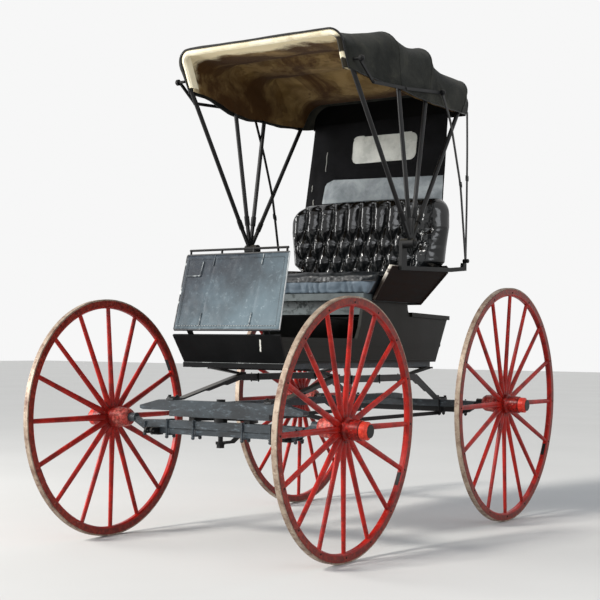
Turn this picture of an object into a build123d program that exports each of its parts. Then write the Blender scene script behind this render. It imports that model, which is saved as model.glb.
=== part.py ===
from build123d import *
import os
from math import atan, atan2, cos, degrees, hypot, pi, radians, sin, tan

os.makedirs("parts", exist_ok=True)

# Overall layout: millimetres, origin on the ground under the middle of the wheels,
# Z up, the front faces -Y, the left side of the vehicle is +X

track = 1280.0
wheelbase = 1656.0
front_radius = 558.8
rear_radius = 609.6
front_camber = 1.8
rear_camber = 1.25
front_y = -(wheelbase + rear_radius - front_radius) / 2
rear_y = front_y + wheelbase

running_fit = 0.05
seat_gap = 0.3

# Wheels: sixteen tapered spokes, dished outwards from the hub to the rim

spoke_count = 16
dish = 20.0
tyre_width = 24.0
tyre_thick = 7.0
rim_width = 28.0
rim_depth = 36.0
rim_chamfer = 6.0
rim_clear = 0.02
spoke_faces = 12
spoke_flatness = 0.78
spoke_root_z = 30.0
spoke_tenon = 10.0

# Spoke sections from hub to rim: share of the spoke's length, width across, share of the dish
spoke_sections = [
    (0.0, 34.0, 0.0),
    (0.34, 27.0, 0.3),
    (1.0, 22.5, 1.0),
]

# Hubs turn on the axle arms and close with a cap that covers the nut
arm_radius = 15.0
arm_root_radius = 21.0
arm_tip = 98.0
cap_start = 88.0
cap_end = 130.0
cap_radius = 39.0
cap_nose = 8.0
cap_step = 6.0
cap_nose_radius = 30.0
cap_pocket = 104.0

# Turned outline of a hub: distance along the axle from the spokes, and radius
hub_profile = [
    (-112.0, 35.0),
    (-100.0, 42.0),
    (-52.0, 47.0),
    (-24.0, 51.0),
    (24.0, 51.0),
    (34.0, 43.0),
    (46.0, 43.0),
    (48.0, 45.0),
    (86.0, 43.0),
    (87.7, 40.0),
]


def oval(depth, width, sides):
    # corners of a flat-sided oval, depth along its first axis and width along its second
    turns = [2 * pi * (index + 0.5) / sides for index in range(sides)]
    return [(depth / 2 * cos(turn), width / 2 * sin(turn)) for turn in turns]


# One wheel size per row: name, outer radius
wheel_sizes = [("front", front_radius), ("rear", rear_radius)]
tyre_shapes = {}
wood_shapes = {}
for size_name, radius in wheel_sizes:
    rim_outer = radius - tyre_thick - rim_clear
    rim_inner = rim_outer - rim_depth
    with BuildPart(mode=Mode.PRIVATE) as tyre_shape:
        with BuildSketch(Plane.YZ.offset(dish)):
            Circle(radius)
            Circle(radius - tyre_thick, mode=Mode.SUBTRACT)
        extrude(amount=tyre_width / 2, both=True)
    tyre_shapes[size_name] = tyre_shape.part
    spoke_length = rim_inner + spoke_tenon - spoke_root_z
    with BuildPart(mode=Mode.PRIVATE) as spoke_one:
        for share, width, dish_share in spoke_sections:
            spoke_origin = (dish_share * dish, 0, spoke_root_z + share * spoke_length)
            with BuildSketch(Plane(spoke_origin, x_dir=(1, 0, 0), z_dir=(0, 0, 1))):
                with BuildLine():
                    Polyline(*oval(spoke_flatness * width, width, spoke_faces), close=True)
                make_face()
        loft(ruled=True)
    with BuildPart(mode=Mode.PRIVATE) as wood_shape:
        with BuildSketch(Plane.XZ):
            with BuildLine():
                Polyline((dish - rim_width / 2, rim_outer), (dish + rim_width / 2, rim_outer),
                         (dish + rim_width / 2, rim_inner + rim_chamfer),
                         (dish + rim_width / 2 - rim_chamfer, rim_inner),
                         (dish - rim_width / 2 + rim_chamfer, rim_inner),
                         (dish - rim_width / 2, rim_inner + rim_chamfer), close=True)
            make_face()
        revolve(axis=Axis.X)
        with BuildSketch(Plane.XZ):
            with BuildLine():
                Polyline((hub_profile[0][0], 0), *hub_profile, (hub_profile[-1][0], 0), close=True)
            make_face()
        revolve(axis=Axis.X)
        for index in range(spoke_count):
            add(spoke_one.part.rotate(Axis.X, 360 * index / spoke_count))
        with BuildSketch(Plane.YZ):
            Circle(arm_radius + running_fit)
        extrude(amount=track / 4, both=True, mode=Mode.SUBTRACT)
    wood_shapes[size_name] = wood_shape.part

with BuildPart(mode=Mode.PRIVATE) as cap_shape:
    with BuildSketch(Plane.XZ):
        with BuildLine():
            Polyline((cap_start, 0), (cap_start, cap_radius), (cap_end - cap_nose - cap_step, cap_radius),
                     (cap_end - cap_nose, cap_nose_radius), (cap_end, cap_nose_radius - 2),
                     (cap_end, 0), close=True)
        make_face()
    revolve(axis=Axis.X)
    with BuildSketch(Plane.YZ.offset(cap_start - 1)):
        Circle(arm_radius + 2)
    extrude(amount=cap_pocket - cap_start + 1, mode=Mode.SUBTRACT)

# One wheel per row: name, size, side, axle along Y, radius, camber in degrees
wheels = [
    ("front_left", "front", 1, front_y, front_radius, front_camber),
    ("front_right", "front", -1, front_y, front_radius, front_camber),
    ("rear_left", "rear", 1, rear_y, rear_radius, rear_camber),
    ("rear_right", "rear", -1, rear_y, rear_radius, rear_camber),
]


def hub_height(radius, camber):
    return radius * cos(radians(camber)) + (dish + tyre_width / 2) * sin(radians(camber))


def hub_reach(radius, camber):
    return track / 2 + radius * sin(radians(camber)) - dish * cos(radians(camber))


def wheel_place(side, along, radius, camber):
    turn = Rotation(0, camber, 0) if side > 0 else Rotation(0, -camber, 0) * Rotation(0, 0, 180)
    return Pos(side * hub_reach(radius, camber), along, hub_height(radius, camber)) * turn


for name, size_name, side, along, radius, camber in wheels:
    place = wheel_place(side, along, radius, camber)
    with BuildPart() as tyre:
        add(place * tyre_shapes[size_name])
    tyre.part.label = "tyre_" + name
    export_step(tyre.part, "parts/tyre_" + name + ".step")
    with BuildPart() as wheel:
        add(place * wood_shapes[size_name])
    wheel.part.label = "wheel_" + name
    export_step(wheel.part, "parts/wheel_" + name + ".step")
    with BuildPart() as cap:
        add(place * cap_shape.part)
    cap.part.label = "hub_cap_" + name
    export_step(cap.part, "parts/hub_cap_" + name + ".step")

# Axles: cambered arms for the hubs, dropped beam between them, wooden bed on top

iron = 28.0
kingbolt_radius = 11.0
shoulder_length = 40.0
shoulder_end = hub_profile[0][0] - seat_gap
front_bottom = 497.0
rear_bottom = 558.0
front_bed_top = 560.0
rear_bed_top = 622.0
bed_depth = 44.0
bed_tip = 6.0
bed_slope = 60.0

# One axle per row: name, along Y, radius, camber, beam bottom, drop starts, drop ends, bed top,
# bed half length
axles = [
    ("front", front_y, front_radius, front_camber, front_bottom, 498.0, 402.0, front_bed_top, 448.0),
    ("rear", rear_y, rear_radius, rear_camber, rear_bottom, 498.0, 430.0, rear_bed_top, 474.0),
]
for name, along, radius, camber, bottom, drop_start, drop_end, bed_top, bed_half in axles:
    arm_x = hub_reach(radius, camber)
    arm_z = hub_height(radius, camber)
    end_z = arm_z + (arm_x - drop_start) * tan(radians(camber))
    with BuildPart() as axle:
        with BuildSketch(Plane.XZ.offset(-along)):
            with BuildLine():
                Polyline((-drop_start, end_z + iron / 2), (-drop_end, bottom + iron),
                         (drop_end, bottom + iron), (drop_start, end_z + iron / 2),
                         (drop_start, end_z - iron / 2), (drop_end, bottom),
                         (-drop_end, bottom), (-drop_start, end_z - iron / 2), close=True)
            make_face()
        extrude(amount=iron / 2, both=True)
        for side in (-1, 1):
            place = wheel_place(side, along, radius, camber)
            with BuildSketch(Plane(place) * Plane.YZ.offset(shoulder_end - shoulder_length)):
                Circle(arm_root_radius)
            extrude(amount=shoulder_length)
            with BuildSketch(Plane(place) * Plane.YZ.offset(shoulder_end)):
                Circle(arm_radius)
            extrude(amount=arm_tip - shoulder_end)
        if name == "front":
            with BuildSketch(Plane.XY.offset(bottom + iron / 2)):
                with Locations((0, along)):
                    Circle(kingbolt_radius + running_fit)
            extrude(amount=iron, both=True, mode=Mode.SUBTRACT)
    axle.part.label = name + "_axle"
    export_step(axle.part, "parts/" + name + "_axle.step")

    slope = (end_z + iron / 2 - bottom - iron) / (drop_start - drop_end)
    rise = slope * (bed_half - drop_end)
    with BuildPart() as bed:
        with BuildSketch(Plane.XZ.offset(-along)):
            with BuildLine():
                Polyline((-bed_half, bottom + iron + rise), (-drop_end, bottom + iron),
                         (drop_end, bottom + iron), (bed_half, bottom + iron + rise),
                         (bed_half, bottom + iron + rise + bed_tip), (drop_end - bed_slope, bed_top),
                         (-drop_end + bed_slope, bed_top),
                         (-bed_half, bottom + iron + rise + bed_tip), close=True)
            make_face()
        extrude(amount=bed_depth / 2, both=True)
        if name == "front":
            with BuildSketch(Plane.XY.offset(bottom)):
                with Locations((0, along)):
                    Circle(kingbolt_radius + running_fit)
            extrude(amount=bed_top - bottom, mode=Mode.SUBTRACT)
    bed.part.label = name + "_bed"
    export_step(bed.part, "parts/" + name + "_bed.step")

# Shaft couplings: clip round the axle with two ears and a bolt hole in front of it

coupling_x = 360.0
coupling_width = 44.0
ear_thick = 11.0
ear_reach = 46.0
ear_radius = 13.5
ear_hole = 6.5
clip_wall = 7.0
coupling_z = front_bottom + iron / 2
clip_face = front_y - iron / 2 - seat_gap
for name, side in (("left", 1), ("right", -1)):
    middle = side * coupling_x
    with BuildPart() as coupling:
        with BuildSketch(Plane.YZ.offset(middle)):
            with BuildLine():
                Polyline((clip_face, front_bottom + iron - 2), (clip_face, front_bottom - seat_gap),
                         (front_y + iron / 2, front_bottom - seat_gap),
                         (front_y + iron / 2, front_bottom - seat_gap - clip_wall),
                         (clip_face - clip_wall, front_bottom - seat_gap - clip_wall),
                         (clip_face - clip_wall, front_bottom + iron - 2), close=True)
            make_face()
        extrude(amount=coupling_width / 2, both=True)
        for ear_side in (-1, 1):
            with BuildSketch(Plane.YZ.offset(middle + ear_side * (coupling_width - ear_thick) / 2)):
                with Locations((clip_face - ear_reach, coupling_z)):
                    Circle(ear_radius)
                with Locations((clip_face - clip_wall / 2 - ear_reach / 2, coupling_z)):
                    Rectangle(ear_reach, 2 * ear_radius)
            extrude(amount=ear_thick / 2, both=True)
        with BuildSketch(Plane.YZ.offset(middle - coupling_width)):
            with Locations((clip_face - ear_reach, coupling_z)):
                Circle(ear_hole)
        extrude(amount=2 * coupling_width, mode=Mode.SUBTRACT)
    coupling.part.label = "shaft_coupling_" + name
    export_step(coupling.part, "parts/shaft_coupling_" + name + ".step")

# Fifth wheel: two half rings behind the kingbolt, the lower one turns with the axle

ring_outer = 168.0
ring_inner = 138.0
ring_thick = 9.0
ring_lap = 15.0
bolster_bottom = front_bed_top + 2 * ring_thick + seat_gap
for name, bottom in (("lower", front_bed_top), ("upper", front_bed_top + ring_thick + seat_gap)):
    with BuildPart() as ring:
        with BuildSketch(Plane.XY.offset(bottom)):
            with Locations((0, front_y)):
                Circle(ring_outer)
                Circle(ring_inner, mode=Mode.SUBTRACT)
            with Locations((0, front_y - ring_outer - ring_lap)):
                Rectangle(3 * ring_outer, 2 * ring_outer, mode=Mode.SUBTRACT)
        extrude(amount=ring_thick)
    ring.part.label = "fifth_wheel_" + name
    export_step(ring.part, "parts/fifth_wheel_" + name + ".step")

# Front bolster: head block over a shorter wear block, ends drawn down to a point

bolster_half = 450.0
bolster_point = 14.0
bolster_slope = 110.0
bolster_tip = 20.0
wear_half = 275.0
wear_top = 604.0
bolster_top = 652.0
bolster_depth = 46.0
with BuildPart() as bolster:
    with BuildSketch(Plane.XZ.offset(-front_y)):
        with BuildLine():
            Polyline((-bolster_half, wear_top + bolster_tip / 3), (-bolster_half + bolster_point, wear_top),
                     (-wear_half, wear_top), (-wear_half, bolster_bottom),
                     (wear_half, bolster_bottom), (wear_half, wear_top),
                     (bolster_half - bolster_point, wear_top), (bolster_half, wear_top + bolster_tip / 3),
                     (bolster_half, wear_top + bolster_tip), (bolster_half - bolster_slope, bolster_top),
                     (-bolster_half + bolster_slope, bolster_top),
                     (-bolster_half, wear_top + bolster_tip), close=True)
        make_face()
    extrude(amount=bolster_depth / 2, both=True)
    with BuildSketch(Plane.XY.offset(bolster_bottom)):
        with Locations((0, front_y)):
            Circle(kingbolt_radius + running_fit)
    extrude(amount=bolster_top - bolster_bottom, mode=Mode.SUBTRACT)
bolster.part.label = "front_bolster"
export_step(bolster.part, "parts/front_bolster.step")

# Kingbolt: collar between bed and bolster, nut under the stay

kingbolt_bottom = 446.0
collar_radius = 30.0
head_radius = 20.0
head_thick = 10.0
nut_radius = 19.0
stay_bottom = 462.0
stay_thick = 12.0
with BuildPart() as kingbolt:
    with BuildSketch(Plane.XY.offset(kingbolt_bottom)):
        with Locations((0, front_y)):
            Circle(kingbolt_radius)
    extrude(amount=bolster_top + head_thick - kingbolt_bottom)
    with BuildSketch(Plane.XY.offset(front_bed_top + seat_gap)):
        with Locations((0, front_y)):
            Circle(collar_radius)
    extrude(amount=bolster_bottom - front_bed_top - 2 * seat_gap)
    with BuildSketch(Plane.XY.offset(bolster_top)):
        with Locations((0, front_y)):
            Circle(head_radius)
    extrude(amount=head_thick)
    with BuildSketch(Plane.XY.offset(kingbolt_bottom)):
        with Locations((0, front_y)):
            RegularPolygon(nut_radius, 6)
    extrude(amount=stay_bottom - kingbolt_bottom)
kingbolt.part.label = "kingbolt"
export_step(kingbolt.part, "parts/kingbolt.step")

# Perch and reaches between the front bolster and the rear axle

perch_bottom = 612.0
perch_height = 38.0
perch_width = 40.0
perch_drop = 60.0
perch_rise = 12.0
perch_lap = 26.0
perch_tail = 24.0
perch_start = front_y + bolster_depth / 2
with BuildPart() as perch:
    with BuildSketch(Plane.YZ):
        with BuildLine():
            Polyline((perch_start, perch_bottom), (rear_y - perch_drop, perch_bottom + perch_rise),
                     (rear_y - perch_drop / 2, rear_bed_top), (rear_y + perch_lap, rear_bed_top),
                     (rear_y + perch_lap, rear_bed_top + perch_tail),
                     (rear_y - perch_drop, perch_bottom + perch_height + perch_rise / 3),
                     (perch_start, perch_bottom + perch_height), close=True)
        make_face()
    extrude(amount=perch_width / 2, both=True)
perch.part.label = "perch"
export_step(perch.part, "parts/perch.step")

stay_eye = 22.0
stay_width = 18.0

# Outline of the stay: place along Y from the front axle, and height, lower edge then upper edge
stay_outline = [
    (-stay_eye, stay_bottom),
    (96.0, stay_bottom),
    (210.0, 520.0),
    (330.0, perch_bottom - stay_thick),
    (410.0, perch_bottom - stay_thick + 2),
    (410.0, perch_bottom + perch_rise / 3),
    (318.0, perch_bottom),
    (200.0, 530.0),
    (90.0, stay_bottom + stay_thick),
    (-stay_eye, stay_bottom + stay_thick),
]
with BuildPart() as stay:
    with BuildSketch(Plane.YZ):
        with BuildLine():
            Polyline(*[(front_y + along, height) for along, height in stay_outline], close=True)
        make_face()
    extrude(amount=stay_width / 2, both=True)
    with BuildSketch(Plane.XY.offset(stay_bottom)):
        with Locations((0, front_y)):
            Circle(stay_eye)
    extrude(amount=stay_thick)
    with BuildSketch(Plane.XY.offset(stay_bottom - 1)):
        with Locations((0, front_y)):
            Circle(kingbolt_radius + running_fit)
    extrude(amount=stay_thick + 2, mode=Mode.SUBTRACT)
    with BuildSketch(Plane.YZ):
        with BuildLine():
            Polyline((perch_start, perch_bottom), (rear_y - perch_drop, perch_bottom + perch_rise),
                     (rear_y - perch_drop, perch_bottom + 2 * perch_height),
                     (perch_start, perch_bottom + 2 * perch_height), close=True)
        make_face()
    extrude(amount=perch_width, both=True, mode=Mode.SUBTRACT)
stay.part.label = "kingbolt_stay"
export_step(stay.part, "parts/kingbolt_stay.step")

reach_x = 248.0
reach_size = 18.0
reach_front_z = 582.0
reach_bend = 320.0
reach_level = 560.0
reach_lap = 24.0
bend_shift = reach_size / 3
for name, side in (("left", 1), ("right", -1)):
    with BuildPart() as reach:
        with BuildSketch(Plane.YZ.offset(side * reach_x)):
            with BuildLine():
                Polyline((perch_start, reach_front_z), (front_y + reach_bend, reach_front_z),
                         (front_y + reach_level, rear_bottom - reach_size),
                         (rear_y + reach_lap, rear_bottom - reach_size), (rear_y + reach_lap, rear_bottom),
                         (front_y + reach_level + bend_shift, rear_bottom),
                         (front_y + reach_bend + bend_shift, reach_front_z + reach_size),
                         (perch_start, reach_front_z + reach_size), close=True)
            make_face()
        extrude(amount=reach_size / 2, both=True)
    reach.part.label = "reach_" + name
    export_step(reach.part, "parts/reach_" + name + ".step")

# Side springs: stacked leaves, the ends clamped on the front bolster and the rear bed

spring_x = 270.0
leaf_width = 38.0
leaf_thick = 8.0
spring_low = bolster_top
spring_rear_low = rear_bed_top
spring_high = 756.0
spring_over = 30.0

# Corners of the main leaf's underside: place along Y from the front axle, and height
spring_corners = [
    (55.0, spring_low),
    (530.0, spring_high),
    (1330.0, spring_high),
    (wheelbase - 55.0, spring_rear_low),
]

# One leaf per row: how far down the stack, start and end along Y from the front axle
leaves = [
    (0, -spring_over, wheelbase + spring_over),
    (1, 250.0, wheelbase - 166.0),
    (2, 400.0, wheelbase - 266.0),
    (3, 540.0, wheelbase - 346.0),
]


def leaf_height(along):
    # underside of the main leaf at a place measured from the front axle
    if along <= spring_corners[0][0]:
        return spring_low
    for (start, low), (end, high) in zip(spring_corners[:-1], spring_corners[1:]):
        if along <= end:
            return low + (high - low) * (along - start) / (end - start)
    return spring_rear_low


for name, side in (("left", 1), ("right", -1)):
    with BuildPart() as spring:
        for depth, start, end in leaves:
            stops = [start] + [along for along, height in spring_corners if start < along < end] + [end]
            under = [(front_y + s, leaf_height(s) - depth * leaf_thick) for s in stops]
            over = [(y, z + leaf_thick) for y, z in reversed(under)]
            with BuildSketch(Plane.YZ.offset(side * spring_x)):
                with BuildLine():
                    Polyline(*under, *over, close=True)
                make_face()
            extrude(amount=leaf_width / 2, both=True)
    spring.part.label = "side_spring_" + name
    export_step(spring.part, "parts/side_spring_" + name + ".step")

# Body loops: cross irons under the sills with an arm down to each side spring

sill_bottom = 800.0
loop_width = 30.0
loop_thick = 9.0
loop_foot = 60.0
spring_top = spring_high + leaf_thick

# One loop per row: name, cross bar along Y, arm foot along Y (from the front axle)
loops = [("front", 300.0, 560.0), ("rear", 1500.0, 1250.0)]
for name, bar, foot in loops:
    lean = 1 if foot > bar else -1
    with BuildPart() as loop:
        with BuildSketch(Plane.XY.offset(sill_bottom - loop_thick)):
            with Locations((0, front_y + bar)):
                Rectangle(2 * spring_x + leaf_width, loop_width)
        extrude(amount=loop_thick)
        for side in (-1, 1):
            with BuildSketch(Plane.YZ.offset(side * spring_x)):
                with BuildLine():
                    Polyline((front_y + bar, sill_bottom), (front_y + bar, sill_bottom - loop_thick),
                             (front_y + foot - lean * loop_foot, spring_top),
                             (front_y + foot, spring_top), (front_y + foot, spring_top + loop_thick),
                             (front_y + foot - lean * (loop_foot - loop_thick), spring_top + loop_thick),
                             (front_y + bar + lean * loop_width, sill_bottom), close=True)
                make_face()
            extrude(amount=loop_width / 2, both=True)
    loop.part.label = "body_loop_" + name
    export_step(loop.part, "parts/body_loop_" + name + ".step")

# Body: sills, floor, two shaped sides, slanting front board and rear panel

body_half = 280.0
side_thick = 16.0
inner_half = body_half - side_thick - seat_gap
sill_width = 36.0
floor_bottom = 838.0
floor_thick = 12.0
floor_top = floor_bottom + floor_thick
side_bottom = 826.0
sill_start = 125.0
sill_end = 1530.0
for name, side in (("left", 1), ("right", -1)):
    with BuildPart() as sill:
        with BuildSketch(Plane.XY.offset(sill_bottom)):
            with Locations((side * (inner_half - sill_width / 2), front_y + (sill_start + sill_end) / 2)):
                Rectangle(sill_width, sill_end - sill_start)
        extrude(amount=floor_bottom - sill_bottom)
    sill.part.label = "sill_" + name
    export_step(sill.part, "parts/sill_" + name + ".step")

seat_bottom = 1130.0
side_low = 943.0
side_front_foot = 106.0
side_front_top = 38.0
side_rear_foot = 1562.0
box_front = 1268.0
box_front_z = 1061.0
box_end = 1698.0
box_end_z = 1052.0

# Outline of a side panel: place along Y from the front axle, and height
side_outline = [
    (side_front_foot, side_bottom),
    (side_front_top, side_low),
    (727.0, side_low),
    (757.0, 1000.0),
    (776.0, 1075.0),
    (795.0, seat_bottom),
    (box_front - 28.0, seat_bottom),
    (box_front - 21.0, seat_bottom - 38.0),
    (box_front, box_front_z),
    (box_end, box_end_z),
    (side_rear_foot, side_bottom),
]
front_lean = (side_front_top - side_front_foot) / (side_low - side_bottom)
rear_lean = (box_end - side_rear_foot) / (box_end_z - side_bottom)


def front_edge(height):
    # slanting front end of the body at a height
    return front_y + side_front_foot + front_lean * (height - side_bottom)


def rear_edge(height):
    # slanting rear end of the body at a height
    return front_y + side_rear_foot + rear_lean * (height - side_bottom)


belt_bottom = 905.0
belt_height = 14.0
belt_proud = 5.0
belt_end = 4.0
belt_top = belt_bottom + belt_height
for name, side in (("left", 1), ("right", -1)):
    with BuildPart() as panel:
        with BuildSketch(Plane.YZ.offset(side * (body_half - side_thick / 2))):
            with BuildLine():
                Polyline(*[(front_y + y, z) for y, z in side_outline], close=True)
            make_face()
        extrude(amount=side_thick / 2, both=True)
        with BuildSketch(Plane.YZ.offset(side * (body_half + belt_proud / 2))):
            with BuildLine():
                Polyline((front_edge(belt_bottom) + belt_end, belt_bottom),
                         (front_edge(belt_top) + belt_end, belt_top),
                         (rear_edge(belt_top) - belt_end, belt_top),
                         (rear_edge(belt_bottom) - belt_end, belt_bottom), close=True)
            make_face()
        extrude(amount=belt_proud / 2, both=True)
    panel.part.label = "body_side_" + name
    export_step(panel.part, "parts/body_side_" + name + ".step")

board_thick = 16.0
board_room = board_thick + seat_gap
front_top = 955.0
moulding_proud = 16.0
moulding_over = 6.0
moulding_top = side_bottom - seat_gap
moulding_low = sill_bottom + 2
moulding_back = sill_start - 2
face_thick = 11.0
face_low_half = 282.0
face_top_half = 297.0
face_foot = side_bottom + 1.0
face_angle = atan(front_lean)
face_height = (front_top - face_foot) / cos(face_angle)
face_plane = Plane((0, front_edge(face_foot) - seat_gap, face_foot), x_dir=(1, 0, 0),
                   z_dir=(0, -cos(face_angle), sin(face_angle)))
with BuildPart() as front_board:
    with BuildSketch(Plane.YZ):
        with BuildLine():
            Polyline((front_edge(side_bottom), side_bottom), (front_edge(front_top), front_top),
                     (front_edge(front_top) + board_thick, front_top),
                     (front_edge(side_bottom) + board_thick, side_bottom), close=True)
        make_face()
    extrude(amount=inner_half, both=True)
    with BuildSketch(Plane.YZ):
        with BuildLine():
            Polyline((front_edge(side_bottom) - moulding_proud, moulding_low),
                     (front_edge(side_bottom) - moulding_proud, moulding_top),
                     (front_y + moulding_back, moulding_top),
                     (front_y + moulding_back, moulding_low), close=True)
        make_face()
    extrude(amount=body_half + moulding_over, both=True)
    with BuildSketch(Plane.XY.offset(moulding_top - 1)):
        with Locations((0, front_edge(side_bottom) + board_thick / 2)):
            Rectangle(2 * inner_half, board_thick)
    extrude(amount=seat_gap + 2)
    with BuildSketch(face_plane):
        with BuildLine():
            Polyline((-face_low_half, 0), (face_low_half, 0), (face_top_half, face_height),
                     (-face_top_half, face_height), close=True)
        make_face()
    extrude(amount=face_thick)
    with BuildSketch(Plane.YZ):
        with BuildLine():
            Polyline((front_edge(face_foot) + 2, face_foot), (front_edge(front_top) + 2, front_top),
                     (front_edge(front_top) - 2, front_top), (front_edge(face_foot) - 2, face_foot),
                     close=True)
        make_face()
    extrude(amount=inner_half, both=True)
front_board.part.label = "front_board"
export_step(front_board.part, "parts/front_board.step")

with BuildPart() as floor_board:
    with BuildSketch(Plane.YZ):
        with BuildLine():
            Polyline((front_edge(floor_bottom) + board_room, floor_bottom),
                     (front_edge(floor_top) + board_room, floor_top),
                     (rear_edge(floor_top) - board_room, floor_top),
                     (rear_edge(floor_bottom) - board_room, floor_bottom), close=True)
        make_face()
    extrude(amount=inner_half, both=True)
floor_board.part.label = "floor_board"
export_step(floor_board.part, "parts/floor_board.step")

rear_top = 1050.0
with BuildPart() as rear_panel:
    with BuildSketch(Plane.YZ):
        with BuildLine():
            Polyline((rear_edge(side_bottom) - board_thick, side_bottom),
                     (rear_edge(rear_top) - board_thick, rear_top),
                     (rear_edge(rear_top), rear_top), (rear_edge(side_bottom), side_bottom), close=True)
        make_face()
    extrude(amount=inner_half, both=True)
rear_panel.part.label = "rear_panel"
export_step(rear_panel.part, "parts/rear_panel.step")

# Rail round the top of the open rear box

rail_front = box_front + 10.0
rail_over = 9.0
rail_height = 22.0
rail_width = 28.0
rail_end = box_end + 15.0


def rail_low(along):
    # top edge of the body side behind the seat
    return box_front_z + (box_end_z - box_front_z) * (along - box_front) / (box_end - box_front)


with BuildPart() as box_rail:
    with BuildSketch(Plane.YZ):
        with BuildLine():
            Polyline((front_y + rail_front, rail_low(rail_front) + seat_gap),
                     (front_y + rail_end, rail_low(rail_end) + seat_gap),
                     (front_y + rail_end, rail_low(rail_end) + rail_height),
                     (front_y + rail_front, rail_low(rail_front) + rail_height), close=True)
        make_face()
    extrude(amount=body_half + rail_over, both=True)
    with BuildSketch(Plane.XY.offset(side_bottom)):
        with Locations((0, front_y + (rail_front + rail_end) / 2)):
            Rectangle(2 * (body_half - rail_width), rail_end - rail_front - 2 * rail_width)
    extrude(amount=2 * seat_bottom, mode=Mode.SUBTRACT)
box_rail.part.label = "box_rail"
export_step(box_rail.part, "parts/box_rail.step")

# Seat: riser board, seat board, flared side panels and back panel

seat_thick = 34.0
seat_front = 762.0
seat_foot_y = 1310.0
seat_back_y = 1400.0
seat_half = 293.0
riser_y = 808.0
riser_low = 1061.0
riser_band = 25.0
band_proud = 6.0
with BuildPart() as riser:
    with BuildSketch(Plane.XZ.offset(-(front_y + riser_y))):
        with Locations((0, (riser_low + seat_bottom) / 2)):
            Rectangle(2 * inner_half, seat_bottom - riser_low)
    extrude(amount=-board_thick)
    with BuildSketch(Plane.XZ.offset(-(front_y + riser_y))):
        with Locations((0, riser_low + riser_band / 2)):
            Rectangle(2 * inner_half, riser_band)
    extrude(amount=band_proud)
riser.part.label = "seat_riser"
export_step(riser.part, "parts/seat_riser.step")

with BuildPart() as seat_board:
    with BuildSketch(Plane.XY.offset(seat_bottom + seat_gap)):
        with Locations((0, front_y + (seat_front + seat_foot_y) / 2)):
            Rectangle(2 * seat_half, seat_foot_y - seat_front)
    extrude(amount=seat_thick)
seat_board.part.label = "seat_board"
export_step(seat_board.part, "parts/seat_board.step")

flare_low = seat_half + seat_gap
flare_high = 404.0
flare_top = 1300.0
flare_bottom = seat_bottom + 2.0
panel_thick = 20.0
panel_low_front = 843.0
panel_high_front = 814.0
for name, side in (("left", 1), ("right", -1)):
    with BuildPart() as seat_side:
        with BuildSketch(Plane.XY.offset(flare_bottom)):
            with Locations((side * (flare_low + panel_thick / 2),
                            front_y + (panel_low_front + seat_foot_y) / 2)):
                Rectangle(panel_thick, seat_foot_y - panel_low_front)
        with BuildSketch(Plane.XY.offset(flare_top)):
            with Locations((side * (flare_high + panel_thick / 2),
                            front_y + (panel_high_front + seat_back_y) / 2)):
                Rectangle(panel_thick, seat_back_y - panel_high_front)
        loft(ruled=True)
    seat_side.part.label = "seat_side_" + name
    export_step(seat_side.part, "parts/seat_side_" + name + ".step")


def panel_inner(height):
    # inner face of the flared seat side at a height
    return flare_low + (flare_high - flare_low) * (height - flare_bottom) / (flare_top - flare_bottom)


back_slope = (seat_back_y - seat_foot_y) / (flare_top - flare_bottom)
back_angle = atan(back_slope)


def back_inner(height):
    # front face of the leaning seat back at a height
    return front_y + seat_foot_y + back_slope * (height - flare_bottom)


back_plane = Plane((0, back_inner(flare_bottom) + 1.2 * seat_gap, flare_bottom), x_dir=(1, 0, 0),
                   z_dir=(0, -cos(back_angle), sin(back_angle)))
back_top = 1330.0
back_draft = 8.0
back_low_half = flare_low + panel_thick
back_high_half = flare_high + panel_thick
flare_run = (flare_top - flare_bottom) / cos(back_angle)
back_run = (back_top - flare_bottom) / cos(back_angle)
with BuildPart() as seat_back:
    with BuildSketch(back_plane):
        with BuildLine():
            Polyline((-back_low_half, 0), (back_low_half, 0), (back_high_half, flare_run),
                     (back_high_half - back_draft, back_run),
                     (-back_high_half + back_draft, back_run), (-back_high_half, flare_run), close=True)
        make_face()
    extrude(amount=-panel_thick)
seat_back.part.label = "seat_back"
export_step(seat_back.part, "parts/seat_back.step")

# Upholstery: seat cushion and the tall buttoned back

cushion_low = seat_bottom + seat_gap + seat_thick + 0.1
cushion_edge = 1262.0
cushion_crown = 1276.0
cushion_front = seat_front + 6.0
cushion_clear = 7.0
cushion_back = back_inner(cushion_crown) - front_y - cushion_clear
cushion_shoulder = 16.0
cushion_low_half = panel_inner(cushion_low) - cushion_clear
cushion_top_half = panel_inner(cushion_edge) - cushion_clear - cushion_shoulder
with BuildPart() as cushion:
    with BuildSketch(Plane.XZ.offset(-(front_y + cushion_front))):
        with BuildLine():
            Polyline((-cushion_top_half, cushion_edge), (-cushion_low_half, cushion_low),
                     (cushion_low_half, cushion_low), (cushion_top_half, cushion_edge))
            ThreePointArc((cushion_top_half, cushion_edge), (0, cushion_crown),
                          (-cushion_top_half, cushion_edge))
        make_face()
    extrude(amount=-(cushion_back - cushion_front))
    with BuildSketch(Plane.YZ):
        with BuildLine():
            Polyline((back_inner(cushion_low) - cushion_clear, cushion_low),
                     (back_inner(cushion_crown) - cushion_clear, cushion_crown),
                     (back_inner(cushion_crown), cushion_low), close=True)
        make_face()
    extrude(amount=cushion_top_half, both=True, mode=Mode.SUBTRACT)
cushion.part.label = "seat_cushion"
export_step(cushion.part, "parts/seat_cushion.step")

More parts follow.
